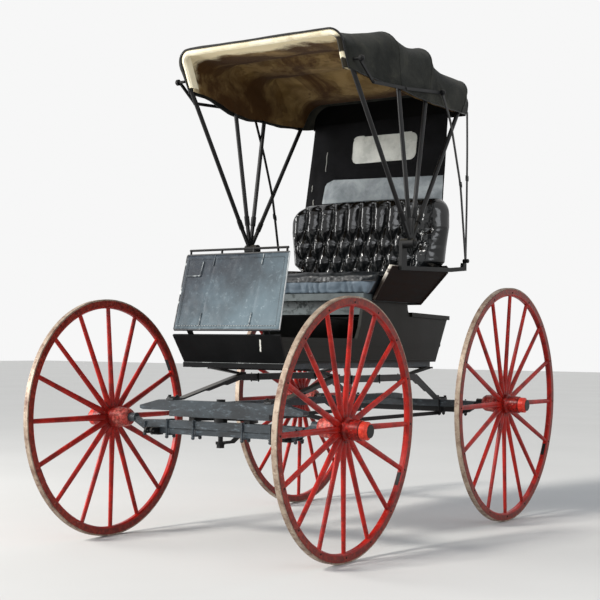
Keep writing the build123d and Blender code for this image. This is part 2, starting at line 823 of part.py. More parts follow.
squab_low = cushion_crown + seat_gap
squab_front = 1241.0
squab_back = 1370.0
squab_foot = panel_inner(squab_low) - cushion_clear - 3.0
squab_sill = (391.0, 1303.0)
squab_waist = (432.0, 1345.0)
squab_wing = (459.0, 1530.0)
squab_round = (444.0, 1637.0)
squab_shoulder = (392.0, 1674.0)
squab_crown = 1694.0
with BuildPart() as squab:
    with BuildSketch(Plane.XZ.offset(-(front_y + squab_back))):
        with BuildLine() as squab_half:
            Polyline((0, squab_low), (squab_foot, squab_low), squab_sill, squab_waist, squab_wing)
            ThreePointArc(squab_wing, squab_round, squab_shoulder)
            ThreePointArc(squab_shoulder, (squab_shoulder[0] / 2, squab_shoulder[1] + 16.5), (0, squab_crown))
            mirror(about=Plane.YZ)
        make_face()
    extrude(amount=squab_back - squab_front)
squab.part.label = "seat_squab"
export_step(squab.part, "parts/seat_squab.step")

# Dash: leather on an iron frame, leaning back, with a rod rail above and two irons below

dash_low_y = 27.0
dash_low_z = 972.0
dash_high_y = 117.0
dash_high_z = 1323.0
dash_low_half = 293.0
dash_high_half = 285.0
dash_thick = 14.0
dash_lean = (dash_high_y - dash_low_y) / (dash_high_z - dash_low_z)
with BuildPart() as dash:
    with BuildSketch(Plane.XY.offset(dash_low_z)):
        with Locations((0, front_y + dash_low_y)):
            Rectangle(2 * dash_low_half, dash_thick)
    with BuildSketch(Plane.XY.offset(dash_high_z)):
        with Locations((0, front_y + dash_high_y)):
            Rectangle(2 * dash_high_half, dash_thick)
    loft(ruled=True)
dash.part.label = "dash"
export_step(dash.part, "parts/dash.step")

rail_z = 1345.0
rail_y = front_y + dash_high_y + dash_lean * (rail_z - dash_high_z)
rail_radius = 5.5
rail_half = 275.0
post_radius = 5.0
post_places = (-269.0, -90.0, 90.0, 269.0)
with BuildPart() as dash_rail:
    with BuildSketch(Plane.YZ):
        with Locations((rail_y, rail_z)):
            Circle(rail_radius)
    extrude(amount=rail_half, both=True)
    for place in post_places:
        with BuildSketch(Plane.XY.offset(dash_high_z + seat_gap)):
            with Locations((place, rail_y - 2)):
                Circle(post_radius)
        extrude(amount=rail_z - dash_high_z - seat_gap)
dash_rail.part.label = "dash_rail"
export_step(dash_rail.part, "parts/dash_rail.step")

dash_iron_x = 212.0
dash_iron_width = 28.0
dash_iron_thick = 9.0
iron_foot = 860.0
iron_lap = 110.0
dash_back = front_y + dash_low_y + dash_thick / 2 + seat_gap
for name, side in (("left", 1), ("right", -1)):
    with BuildPart() as dash_iron:
        with BuildSketch(Plane.YZ.offset(side * dash_iron_x)):
            with BuildLine():
                Polyline((front_edge(iron_foot) + board_thick + seat_gap, iron_foot),
                         (front_edge(front_top) + board_thick + seat_gap, front_top),
                         (dash_back, dash_low_z), (dash_back + dash_lean * iron_lap, dash_low_z + iron_lap),
                         (dash_back + dash_lean * iron_lap + dash_iron_thick, dash_low_z + iron_lap),
                         (dash_back + 1.3 * dash_iron_thick, dash_low_z - dash_iron_thick / 3),
                         (front_edge(iron_foot) + board_thick + 1.1 * dash_iron_thick, iron_foot), close=True)
            make_face()
        extrude(amount=dash_iron_width / 2, both=True)
    dash_iron.part.label = "dash_iron_" + name
    export_step(dash_iron.part, "parts/dash_iron_" + name + ".step")

# Folding top: four bows that meet at the pivot on each side of the seat

pivot_y = front_y + 901.0
pivot_z = 1409.0
pivot_x = 476.0
bow_radius = 11.0
bow_start = 128.0
corner_radius = 85.0

# One bow per row: lean from upright in degrees, half width at the top, reach from the pivot line,
# room left between the bow and the cover
bows = [
    (-35.9, 458.0, 1128.0, 2.8),
    (-11.1, 481.0, 978.0, 1.0),
    (10.6, 486.0, 968.0, 1.0),
    (35.0, 484.0, 1062.0, 2.2),
]


def bow_plane(lean):
    return Plane((0, pivot_y, pivot_z), x_dir=(1, 0, 0), z_dir=(0, -cos(radians(lean)), sin(radians(lean))))


def bow_side(half, reach_top, grow, height):
    # place across the vehicle of a bow's side line, moved outwards by grow, at a height in the bow's plane
    run = half - pivot_x
    rise = reach_top - bow_start
    length = hypot(run, rise)
    start_x = pivot_x + grow * rise / length
    start_w = bow_start - grow * run / length
    return start_x + (height - start_w) * run / rise


for number, (lean, half, reach_top, room) in enumerate(bows, 1):
    with BuildPart() as bow:
        with BuildLine(bow_plane(lean)) as path:
            FilletPolyline((-pivot_x, bow_start), (-half, reach_top), (half, reach_top), (pivot_x, bow_start),
                           radius=corner_radius)
        with BuildSketch(Plane(origin=path.line @ 0, z_dir=path.line % 0)):
            Circle(bow_radius)
        sweep(path=path.line)
    bow.part.label = "bow_" + str(number)
    export_step(bow.part, "parts/bow_" + str(number) + ".step")

# Seat irons: rail on the seat side, post and boss at the pivot, a flat arm to each bow, prop rest behind

iron_inner = flare_high + panel_thick + seat_gap
iron_outer = iron_inner + 18.0
fan_thick = 14.0
fan_width = 16.0
boss_radius = 24.0
boss_outer = pivot_x + 22.0
post_half = 24.0
rail_joint = 1300.0
prop_rest = 1600.0
prop_width = 34.0

# Outline of the seat iron: place along Y from the front axle, and height
iron_outline = [
    (pivot_y - front_y - 31.0, 1278.0),
    (1420.0, 1296.0),
    (prop_rest, 1312.0),
    (prop_rest, 1352.0),
    (prop_rest - prop_width, 1352.0),
    (prop_rest - prop_width - 6.0, 1330.0),
    (1420.0, 1318.0),
    (pivot_y - front_y + post_half, rail_joint),
    (pivot_y - front_y + post_half, pivot_z),
    (pivot_y - front_y - post_half, pivot_z),
    (pivot_y - front_y - 31.0, rail_joint),
]
for name, side in (("left", 1), ("right", -1)):
    with BuildPart() as seat_iron:
        with BuildSketch(Plane.YZ.offset(side * (iron_inner + iron_outer) / 2)):
            with BuildLine():
                Polyline(*[(front_y + along, height) for along, height in iron_outline], close=True)
            make_face()
        extrude(amount=(iron_outer - iron_inner) / 2, both=True)
        with BuildSketch(Plane.YZ.offset(side * (iron_inner + boss_outer) / 2)):
            with Locations((pivot_y, pivot_z)):
                Circle(boss_radius)
        extrude(amount=(boss_outer - iron_inner) / 2, both=True)
        for lean, half, reach_top, room in bows:
            turn = radians(lean)
            with BuildSketch(Plane.YZ.offset(side * pivot_x)):
                with Locations(Location((pivot_y + sin(turn) * bow_start / 2,
                                         pivot_z + cos(turn) * bow_start / 2, 0), (0, 0, -lean))):
                    Rectangle(fan_width, bow_start - 2 * seat_gap)
            extrude(amount=fan_thick / 2, both=True)
    seat_iron.part.label = "seat_iron_" + name
    export_step(seat_iron.part, "parts/seat_iron_" + name + ".step")

# Top cover: closed shell over the bows, sagging between them, open below and in front

cover_thick = 6.0
cover_sag = 16.0
valance_low = 2135.0


def cover_section(lean, half, reach_top, room, grow, low):
    foot = (low - pivot_z) / cos(radians(lean))
    out = bow_radius + room + grow
    top = reach_top + out
    wide_top = bow_side(half, reach_top, out, top)
    wide_foot = bow_side(half, reach_top, out, foot)
    with BuildSketch(bow_plane(lean), mode=Mode.PRIVATE) as section:
        with BuildLine():
            FilletPolyline((-wide_foot, foot), (-wide_top, top), (wide_top, top), (wide_foot, foot),
                           radius=corner_radius + out)
            Line((wide_foot, foot), (-wide_foot, foot))
        make_face()
    return section.sketch.face()


# Stations between the bows are lower by the sag
stations = []
for first, second in zip(bows[:-1], bows[1:]):
    stations.append(first)
    middle_lean = (first[0] + second[0]) / 2
    chord = (first[2] + second[2]) / 2 * cos(radians((second[0] - first[0]) / 2))
    stations.append((middle_lean, (first[1] + second[1]) / 2, chord - cover_sag, (first[3] + second[3]) / 2))
stations.append(bows[-1])

front_station = (bows[0][0] - 1.1, *bows[0][1:])
front_beyond = (bows[0][0] - 6.1, *bows[0][1:])
rear_half = 468.0
rear_height = 128.0
rear_cover_y = 1526.0
rear_tilt = radians(14)
rear_plane = Plane((0, front_y + rear_cover_y, valance_low), x_dir=(1, 0, 0),
                   z_dir=(0, -cos(rear_tilt), sin(rear_tilt)))
inner_drop = 60.0


def rear_section(plane, half, height, grow, drop):
    wide = half + grow
    with BuildSketch(plane, mode=Mode.PRIVATE) as section:
        with BuildLine():
            FilletPolyline((-wide, -drop), (-wide, height), (wide, height), (wide, -drop),
                           radius=corner_radius)
            Line((wide, -drop), (-wide, -drop))
        make_face()
    return section.sketch.face()


with BuildPart() as cover:
    outer_faces = [cover_section(*front_station, cover_thick, valance_low)]
    outer_faces += [cover_section(*station, cover_thick, valance_low) for station in stations]
    outer_faces.append(rear_section(rear_plane, rear_half, rear_height, cover_thick, 0))
    loft(sections=outer_faces, ruled=True)
    inner_faces = [cover_section(*front_beyond, 0, valance_low - inner_drop)]
    inner_faces += [cover_section(*station, 0, valance_low - inner_drop) for station in stations]
    inner_rear = rear_plane.offset(cover_thick + 1)
    inner_faces.append(rear_section(inner_rear, rear_half, rear_height - 10, 0, inner_drop))
    loft(sections=inner_faces, ruled=True, mode=Mode.SUBTRACT)
cover.part.label = "top_cover"
export_step(cover.part, "parts/top_cover.step")

# Rear curtain from the cover down to the back of the upholstery, with one window

curtain_top_y = front_y + rear_cover_y - 7.0
curtain_top_z = valance_low + 15.0
curtain_far = -474.0
curtain_top_far = -460.0
curtain_near = 383.0
curtain_top_near = 369.0
curtain_low_y = front_y + seat_back_y + 34.0
curtain_low_z = 1640.0
curtain_thick = 4.0
curtain_tilt = degrees(atan2(curtain_top_y - curtain_low_y, curtain_top_z - curtain_low_z))
curtain_length = hypot(curtain_top_y - curtain_low_y, curtain_top_z - curtain_low_z)
curtain_plane = Plane((0, curtain_low_y, curtain_low_z), x_dir=(1, 0, 0),
                      z_dir=(0, -cos(radians(curtain_tilt)), sin(radians(curtain_tilt))))
window_half = 205.0
window_height = 166.0
window_middle = 352.0
window_corner = 40.0
window_gap = 0.2
with BuildPart() as curtain:
    with BuildSketch(curtain_plane):
        with BuildLine():
            Polyline((curtain_far, 0), (curtain_near, 0), (curtain_top_near, curtain_length),
                     (curtain_top_far, curtain_length), close=True)
        make_face()
        with Locations((0, window_middle)):
            RectangleRounded(2 * window_half, window_height, window_corner, mode=Mode.SUBTRACT)
    extrude(amount=curtain_thick / 2, both=True)
curtain.part.label = "rear_curtain"
export_step(curtain.part, "parts/rear_curtain.step")

with BuildPart() as window:
    with BuildSketch(curtain_plane):
        with Locations((0, window_middle)):
            RectangleRounded(2 * (window_half - window_gap), window_height - 2 * window_gap,
                             window_corner - window_gap)
    extrude(amount=curtain_thick / 2 - 0.5, both=True)
window.part.label = "rear_window"
export_step(window.part, "parts/rear_window.step")

# Top joints: jointed irons outside the cover, from a stud on the first bow to one behind the third

joint_x = 508.0
joint_thick = 8.0
joint_width = 15.0
stud_radius = 15.0
stud_length = 12.0
stud_shank = 7.0

# Corners of a top joint: place along Y from the front axle, and height
joint_path = [(328.0, 2203.0), (455.0, 2118.0), (770.0, 2141.0), (1145.0, 2183.0)]
for name, side in (("left", 1), ("right", -1)):
    with BuildPart() as top_joint:
        for start, end in zip(joint_path[:-1], joint_path[1:]):
            middle = ((start[0] + end[0]) / 2, (start[1] + end[1]) / 2)
            length = hypot(end[0] - start[0], end[1] - start[1])
            angle = degrees(atan2(end[1] - start[1], end[0] - start[0]))
            with BuildSketch(Plane.YZ.offset(side * (joint_x + joint_thick / 2))):
                with Locations(Location((front_y + middle[0], middle[1], 0), (0, 0, angle))):
                    SlotCenterToCenter(length, joint_width)
            extrude(amount=joint_thick / 2, both=True)
        studs = [(joint_path[0], bows[0]), (joint_path[-1], bows[2])]
        for (along, height), (lean, half, reach_top, room) in studs:
            radius = (height - pivot_z) / cos(radians(lean))
            inner_x = bow_side(half, reach_top, bow_radius + room + cover_thick + 2 * seat_gap, radius)
            with BuildSketch(Plane.YZ.offset(side * inner_x)):
                with Locations((front_y + along, height)):
                    Circle(stud_shank)
            extrude(amount=side * (joint_x + joint_thick - inner_x))
            with BuildSketch(Plane.YZ.offset(side * (joint_x + joint_thick))):
                with Locations((front_y + along, height)):
                    Circle(stud_radius)
            extrude(amount=side * stud_length)
    top_joint.part.label = "top_joint_" + name
    export_step(top_joint.part, "parts/top_joint_" + name + ".step")
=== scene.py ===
import bpy
import bmesh
import math
from mathutils import Matrix, Vector, noise


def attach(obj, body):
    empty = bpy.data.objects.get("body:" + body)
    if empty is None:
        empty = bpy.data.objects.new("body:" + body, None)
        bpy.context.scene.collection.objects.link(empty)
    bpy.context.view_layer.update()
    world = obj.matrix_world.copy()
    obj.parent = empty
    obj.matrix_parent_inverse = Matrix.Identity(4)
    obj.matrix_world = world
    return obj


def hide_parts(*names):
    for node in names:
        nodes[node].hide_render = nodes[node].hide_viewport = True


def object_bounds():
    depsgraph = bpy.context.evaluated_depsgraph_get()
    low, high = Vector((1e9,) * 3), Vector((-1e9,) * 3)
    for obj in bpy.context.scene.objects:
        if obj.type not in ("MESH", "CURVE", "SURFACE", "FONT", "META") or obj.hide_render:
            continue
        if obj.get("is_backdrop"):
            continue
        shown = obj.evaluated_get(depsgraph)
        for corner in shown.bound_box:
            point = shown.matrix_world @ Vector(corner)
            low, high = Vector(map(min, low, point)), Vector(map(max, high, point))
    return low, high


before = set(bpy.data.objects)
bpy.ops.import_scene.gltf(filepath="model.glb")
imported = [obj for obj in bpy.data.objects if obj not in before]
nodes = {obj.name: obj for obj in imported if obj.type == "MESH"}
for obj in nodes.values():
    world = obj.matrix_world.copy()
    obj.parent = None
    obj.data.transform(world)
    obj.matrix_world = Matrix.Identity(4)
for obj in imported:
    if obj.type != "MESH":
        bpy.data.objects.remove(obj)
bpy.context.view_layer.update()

# Places shared with the part, in metres: front axle, pivot of the top, bows
F = -0.8534
REAR = 0.8026
PIVOT = (0.476, F + 0.901, 1.409)
BOW_START, BOW_R, CORNER = 0.128, 0.011, 0.085
BOWS = [(-35.9, 0.458, 1.128, 0.0028), (-11.1, 0.481, 0.978, 0.001),
        (10.6, 0.486, 0.968, 0.001), (35.0, 0.484, 1.062, 0.0022)]
VALANCE = 2.135


# Materials

def lin(r, g, b):
    tones = [((c / 255 + 0.055) / 1.055) ** 2.4 if c > 10 else c / 255 / 12.92 for c in (r, g, b)]
    return tuple(tones) + (1.0,)


def darker(colour, share):
    return tuple(c * share for c in colour[:3]) + (1.0,)


class Shade:
    """A material as it is put together: each method adds nodes and gives back an output."""

    SOCKETS = {"color": "Base Color", "rough": "Roughness", "metal": "Metallic", "normal": "Normal",
               "sheen": "Sheen Weight", "sheen_rough": "Sheen Roughness", "coat": "Coat Weight",
               "coat_rough": "Coat Roughness", "spec": "Specular IOR Level"}

    def __init__(self, name):
        self.mat = bpy.data.materials.new(name)
        self.mat.use_nodes = True
        self.tree = self.mat.node_tree
        self.tree.nodes.clear()
        out = self.tree.nodes.new("ShaderNodeOutputMaterial")
        self.bsdf = self.tree.nodes.new("ShaderNodeBsdfPrincipled")
        self.tree.links.new(self.bsdf.outputs[0], out.inputs[0])
        self.co = self.tree.nodes.new("ShaderNodeTexCoord").outputs["Object"]

    def put(self, socket, value):
        if hasattr(value, "links"):
            self.tree.links.new(value, socket)
        else:
            socket.default_value = value

    def node(self, kind, inputs, **settings):
        made = self.tree.nodes.new("ShaderNode" + kind)
        for key, value in settings.items():
            setattr(made, key, value)
        for key, value in inputs.items():
            self.put(made.inputs[key], value)
        return made.outputs

    def set(self, **values):
        for key, value in values.items():
            self.put(self.bsdf.inputs[self.SOCKETS[key]], value)
        return self.mat

    def vector(self, op, a, b=(0, 0, 0)):
        return self.node("VectorMath", {0: a, 1: b}, operation=op)

    def noise(self, scale, detail, rough, stretch=None, distortion=0.0):
        place = self.vector("MULTIPLY", self.co, stretch)[0] if stretch else self.co
        return self.node("TexNoise", {"Vector": place, "Scale": scale, "Detail": detail, "Roughness": rough,
                                      "Distortion": distortion})[0]

    def voronoi(self, scale):
        return self.node("TexVoronoi", {"Vector": self.co, "Scale": scale})["Distance"]

    def wave(self, scale, direction):
        return self.node("TexWave", {"Vector": self.co, "Scale": scale}, bands_direction=direction)["Fac"]

    def math(self, op, a, b=0.0, clamp=False):
        return self.node("Math", {0: a, 1: b}, operation=op, use_clamp=clamp)[0]

    def mul(self, a, b):
        return self.math("MULTIPLY", a, b)

    def add(self, a, b, clamp=False):
        return self.math("ADD", a, b, clamp)

    def sub(self, a, b):
        return self.math("SUBTRACT", a, b)

    def line(self, a, slope, start):
        return self.add(self.mul(a, slope), start)

    def band(self, value, low, high):
        """0 below low, 1 above high, with a soft step between."""
        return self.node("MapRange", {"Value": value, "From Min": low, "From Max": high},
                         interpolation_type="SMOOTHSTEP")[0]

    def strip(self, value, a, b, c, d):
        """1 from b to c, with a soft step on each side."""
        return self.sub(self.band(value, a, b), self.band(value, c, d))

    def mix(self, a, b, fac, share=None):
        fac = fac if share is None else self.mul(fac, share)
        return self.node("Mix", {0: fac, 6: a, 7: b}, data_type="RGBA")[2]

    def axis(self, index, vector=None):
        return self.node("SeparateXYZ", {0: vector or self.co})[index]

    def facing_up(self):
        return self.axis(2, self.node("NewGeometry", {})["Normal"])

    def bump(self, height, strength, distance, normal=None):
        inputs = {"Strength": strength, "Distance": distance, "Height": height}
        if normal is not None:
            inputs["Normal"] = normal
        return self.node("Bump", inputs)[0]

    def turned(self, centre, axis):
        """Place along a wheel's axis, and distance from it."""
        place = self.vector("SUBTRACT", self.co, centre)[0]
        along = self.vector("DOT_PRODUCT", place, axis)["Value"]
        length = self.vector("LENGTH", place)["Value"]
        square = self.sub(self.math("POWER", length, 2.0), self.math("POWER", along, 2.0))
        return along, self.math("SQRT", self.math("MAXIMUM", square, 0.0))


DUST = lin(150, 140, 122)


def paint(name, base, worn, rough, chip, chip_scale, dust_top, spec=0.5, dust=DUST):
    """Old paint: slow tone changes, small chips down to a worn colour, dust on what faces up."""
    s = Shade(name)
    tone = s.noise(6, 5, 0.6)
    chipped = s.mul(s.band(s.noise(chip_scale, 6, 0.7), chip, chip + 0.05),
                    s.band(s.noise(7, 3, 0.5, distortion=0.6), 0.42, 0.62))
    dusty = s.mul(s.mul(s.band(s.facing_up(), 0.35, 0.95), dust_top), s.band(tone, 0.25, 0.6))
    col = s.mix(darker(base, 0.62), base, s.band(tone, 0.32, 0.66))
    col = s.mix(s.mix(col, worn, chipped), dust, dusty)
    return s.set(color=col, rough=s.add(s.line(tone, 0.22, rough - 0.11), s.mul(chipped, 0.25), clamp=True),
                 normal=s.bump(chipped, 0.25, 0.0006, s.bump(s.noise(90, 4, 0.6), 0.16, 0.001)), spec=spec)


def front_board_paint():
    """Black paint with one long chip down to the pale ground, and small marks."""
    s = Shade("front_board_paint")
    tone = s.noise(7, 5, 0.6)
    ragged = s.mul(s.sub(s.noise(60, 4, 0.6), 0.5), 0.010)
    x = s.add(s.add(s.axis(0), ragged), s.mul(s.sub(0.905, s.axis(2)), 0.32))
    z = s.add(s.axis(2), ragged)
    chip = s.mul(s.strip(x, 0.1735, 0.1755, 0.1815, 0.1835), s.strip(z, 0.876, 0.882, 0.928, 0.934))
    specks = s.mul(s.band(s.noise(75, 5, 0.7), 0.67, 0.71), s.band(tone, 0.45, 0.6))
    col = s.mix(lin(7, 8, 9), lin(15, 16, 17), s.band(tone, 0.3, 0.7))
    col = s.mix(s.mix(col, lin(112, 112, 104), specks), lin(226, 226, 218), chip)
    return s.set(color=col, rough=s.line(tone, 0.25, 0.34), spec=0.08, normal=s.bump(tone, 0.1, 0.001))


def brown_panel():
    """Dark brown with upright grain and fine pale scratches."""
    s = Shade("seat_panel_paint")
    grain = s.noise(9, 6, 0.6, stretch=(6.0, 1.0, 6.0))
    fine = s.noise(160, 3, 0.6, stretch=(1.0, 0.15, 1.0))
    col = s.mix(lin(15, 8, 5), lin(27, 15, 9), s.band(grain, 0.3, 0.7))
    col = s.mix(col, lin(13, 9, 7), s.band(s.noise(4, 3, 0.5), 0.5, 0.75))
    col = s.mix(col, lin(96, 76, 60), s.band(fine, 0.68, 0.78), 0.4)
    return s.set(color=col, rough=s.line(grain, 0.3, 0.34), spec=0.05, normal=s.bump(grain, 0.12, 0.001))


def leather(name, base, glow, rough, grain, wrinkle, coat, fall=None):
    """Old leather: fine pebble grain, and creases with thin scuffs along them."""
    s = Shade(name)
    crease = s.noise(34, 7, 0.62, distortion=1.4)
    col = s.mix(base, glow, s.band(s.noise(5, 4, 0.55), 0.35, 0.75))
    col = s.mix(glow, col, s.band(s.math("ABSOLUTE", s.sub(crease, 0.5)), 0.0, 0.02))
    if fall is not None:
        low = s.band(s.axis(2), 1.2235, 1.2185)
        ahead = s.band(s.axis(1), F + 0.800, F + 0.790)
        col = s.mix(col, fall, s.mul(low, ahead))
    normal = s.bump(crease, wrinkle, 0.002, s.bump(s.voronoi(grain), 0.10, 0.0006))
    return s.set(color=col, rough=s.line(s.noise(22, 4, 0.6), 0.26, rough - 0.1), normal=normal, coat=coat,
                 coat_rough=0.16, spec=0.3)


def dash_hide():
    """Blue-black leather with small blotches, paler toward the foot and the left side (+X)."""
    s = Shade("dash_leather")
    tone = s.noise(6, 5, 0.6)
    blotch = s.noise(46, 7, 0.68, distortion=0.6)
    pale_slope = s.add(s.mul(s.axis(0), 0.55), s.mul(s.axis(2), -0.9))
    pale = s.band(s.add(pale_slope, s.mul(tone, 0.5)), -1.02, -0.55)
    col = s.mix(lin(9, 19, 30), lin(19, 34, 47), s.band(tone, 0.3, 0.7))
    col = s.mix(col, lin(104, 122, 130), pale, 0.6)
    col = s.mix(col, lin(136, 150, 156), s.mul(s.band(blotch, 0.54, 0.70), s.line(pale, 0.35, 0.12)))
    normal = s.bump(s.noise(30, 7, 0.62, distortion=1.2), 0.3, 0.002, s.bump(s.voronoi(380), 0.08, 0.0006))
    return s.set(color=col, rough=s.line(blotch, 0.2, 0.34), normal=normal, spec=0.22)


def cloth(name, base, light, scale, rough, sheen, stain=None, stain_amount=0.0):
    """Woven cloth with slow tone changes, and stains where a colour is given for them."""
    s = Shade(name)
    thread = s.add(s.add(s.wave(scale, "X"), s.wave(scale, "Y")), s.wave(scale, "Z"))
    col = s.mix(base, light, s.band(s.noise(7, 6, 0.62, distortion=0.4), 0.3, 0.72))
    col = s.mix(col, darker(base, 0.7), s.band(thread, 1.2, 2.2), 0.25)
    if stain is not None:
        col = s.mix(col, stain, s.band(s.noise(3.4, 6, 0.66, distortion=1.1), 0.47, 0.68), stain_amount)
    normal = s.bump(s.noise(16, 5, 0.6), 0.35, 0.004, s.bump(thread, 0.35, 0.0004))
    return s.set(color=col, rough=rough, normal=normal, sheen=sheen, sheen_rough=0.5, spec=0.1)


def stained_lining():
    """Cream at the front, then tan with wide brown water marks."""
    s = Shade("lining_cloth")
    marks = s.noise(2.1, 7, 0.62, distortion=0.9)
    ring = s.band(s.math("ABSOLUTE", s.sub(marks, 0.46)), 0.0, 0.02)
    edge = s.add(s.axis(1), s.mul(s.noise(5, 7, 0.7), 0.30))
    col = s.mix(lin(112, 88, 50), lin(152, 126, 82), s.band(s.noise(8, 6, 0.62, distortion=0.5), 0.3, 0.7))
    col = s.mix(col, lin(62, 36, 12), s.band(marks, 0.41, 0.57), 0.9)
    col = s.mix(col, lin(56, 34, 18), s.sub(1.0, ring), 0.4)
    col = s.mix(lin(240, 226, 188), col, s.band(edge, F + 0.47, F + 0.55))
    thread = s.add(s.wave(300, "X"), s.wave(300, "Y"))
    normal = s.bump(s.noise(14, 5, 0.6), 0.4, 0.005, s.bump(thread, 0.3, 0.0004))
    return s.set(color=col, rough=0.92, normal=normal, sheen=0.05, sheen_rough=0.5, spec=0.05)


def front_facing():
    """Cream facing; its left foot (+X) is dark, with one cream patch where it is torn."""
    s = Shade("front_band_cloth")
    tone = s.noise(9, 6, 0.62)
    z = s.add(s.axis(2), s.mul(s.sub(s.noise(22, 5, 0.6), 0.5), 0.03))
    dark_foot = s.mul(s.band(s.axis(0), 0.385, 0.405), s.sub(1.0, s.band(z, 2.285, 2.305)))
    patch = s.strip(z, 2.200, 2.206, 2.228, 2.234)
    col = s.mix(lin(222, 210, 178), lin(244, 236, 210), s.band(tone, 0.3, 0.7))
    col = s.mix(col, lin(166, 142, 102), s.band(s.noise(4, 6, 0.66), 0.5, 0.66), 0.5)
    col = s.mix(col, lin(46, 42, 34), s.mul(dark_foot, s.sub(1.0, patch)))
    thread = s.add(s.wave(300, "X"), s.wave(300, "Z"))
    normal = s.bump(tone, 0.35, 0.004, s.bump(thread, 0.35, 0.0004))
    return s.set(color=col, rough=0.9, normal=normal, sheen=0.1, sheen_rough=0.5, spec=0.1)


def window_pane():
    """Clouded pane with faint marks; its pale tones are partly painted light, standing in for the daylight
    through the pane.
    """
    s = Shade("window_pane")
    cloud = s.noise(9, 5, 0.6)
    marks = s.noise(40, 6, 0.7, stretch=(0.4, 1.0, 2.0))
    # Pale tones: the clouded pane, and painted light for the daylight shining through it
    col = s.mix(lin(178, 180, 174), lin(212, 213, 206), s.band(cloud, 0.3, 0.7))
    col = s.mix(col, lin(176, 174, 164), s.band(marks, 0.55, 0.75), 0.5)
    return s.set(color=col, rough=s.line(cloud, 0.3, 0.15), coat=0.2, coat_rough=0.2,
                 normal=s.bump(s.noise(12, 3, 0.5), 0.25, 0.004))


def tyre_steel():
    """Dull steel with rust and pale dried mud."""
    s = Shade("tyre_steel")
    rust = s.noise(34, 7, 0.7)
    col = s.mix(lin(116, 92, 76), lin(166, 150, 132), s.band(s.noise(14, 6, 0.6), 0.3, 0.65))
    col = s.mix(col, lin(92, 56, 42), s.band(rust, 0.5, 0.66), 0.7)
    col = s.mix(col, lin(206, 190, 168), s.band(s.noise(70, 5, 0.7), 0.56, 0.7), 0.55)
    return s.set(color=col, rough=s.line(rust, 0.4, 0.35), metal=0.25, normal=s.bump(rust, 0.2, 0.0008))


def wheel_red(name, centre, axis, rim):
    """Red paint of one wheel: faded hub, dark spoke roots, darker sides of the rim, grime and chips."""
    s = Shade(name)
    along, away = s.turned(centre, axis)
    streak = s.noise(46, 6, 0.65)
    side = s.band(away, rim - 0.030, rim - 0.024)
    hub = s.sub(1.0, s.band(away, 0.053, 0.058))
    root = s.mul(s.band(away, 0.075, 0.056), s.band(s.noise(80, 4, 0.6), 0.4, 0.6))
    faded = s.mix(lin(176, 52, 44), lin(202, 120, 108), s.band(s.noise(30, 5, 0.6), 0.35, 0.7))
    col = s.mix(lin(118, 17, 12), lin(172, 28, 18), s.band(s.noise(10, 5, 0.6), 0.3, 0.68))
    col = s.mix(col, lin(214, 66, 44), s.band(streak, 0.56, 0.76), 0.45)
    col = s.mix(col, lin(74, 20, 15), s.band(s.noise(24, 7, 0.7), 0.5, 0.66), 0.55)
    col = s.mix(col, s.mix(lin(92, 24, 18), lin(136, 44, 30), s.band(streak, 0.35, 0.65)), side)
    col = s.mix(col, lin(66, 26, 20), s.mul(s.band(s.noise(60, 6, 0.7), 0.54, 0.68), s.line(side, 0.6, 0.25)))
    col = s.mix(col, faded, s.mul(hub, s.sub(1.0, s.band(along, -0.046, -0.038))))
    col = s.mix(col, lin(70, 14, 12), root, 0.7)
    col = s.mix(col, lin(196, 160, 140), s.band(s.noise(110, 5, 0.7), 0.64, 0.70), 0.7)
    return s.set(color=col, rough=s.line(streak, 0.3, 0.22), spec=0.22, normal=s.bump(streak, 0.14, 0.0012))


def hub_cap_paint(name, centre, axis):
    """Red collar, and a black disc on the end: painted shade standing in for the dark inside of its open end.
    """
    s = Shade(name)
    along, away = s.turned(centre, axis)
    worn = s.noise(60, 6, 0.65)
    # Black disc on the closed end: painted shade for the inside of the open end
    hole_shade = s.mul(s.band(along, 0.1205, 0.1215), s.sub(1.0, s.band(away, 0.0282, 0.0292)))
    col = s.mix(lin(176, 36, 24), lin(220, 70, 50), s.band(worn, 0.35, 0.7))
    col = s.mix(s.mix(col, lin(8, 7, 7), hole_shade), lin(24, 12, 10), s.sub(1.0, s.band(along, 0.0895, 0.0935)))
    return s.set(color=col, rough=s.line(worn, 0.3, 0.25), spec=0.25, normal=s.bump(worn, 0.12, 0.001))


def worn_beam():
    """Blue-grey worn black of the running gear: fine pale wear drawn out along the beams."""
    s = Shade("beam_paint")
    tone = s.noise(9, 6, 0.65, stretch=(0.6, 1.0, 1.0))
    fine = s.noise(70, 8, 0.75, stretch=(0.35, 1.0, 1.0))
    dusty = s.mul(s.band(s.facing_up(), 0.3, 0.9), s.mul(s.band(fine, 0.45, 0.65), 0.45))
    col = s.mix(lin(20, 25, 29), lin(44, 53, 59), s.band(tone, 0.32, 0.68))
    col = s.mix(col, lin(96, 108, 116), s.band(fine, 0.52, 0.70), 0.7)
    col = s.mix(col, lin(92, 100, 104), dusty)
    return s.set(color=col, rough=s.line(fine, 0.4, 0.25), spec=0.4, normal=s.bump(fine, 0.15, 0.0008))


def studio_grey():
    s = Shade("studio_floor")
    col = s.mix(lin(203, 202, 199), lin(206, 205, 202), s.band(s.noise(0.8, 3, 0.5), 0.3, 0.7))
    return s.set(color=col, rough=0.85, spec=0.1)


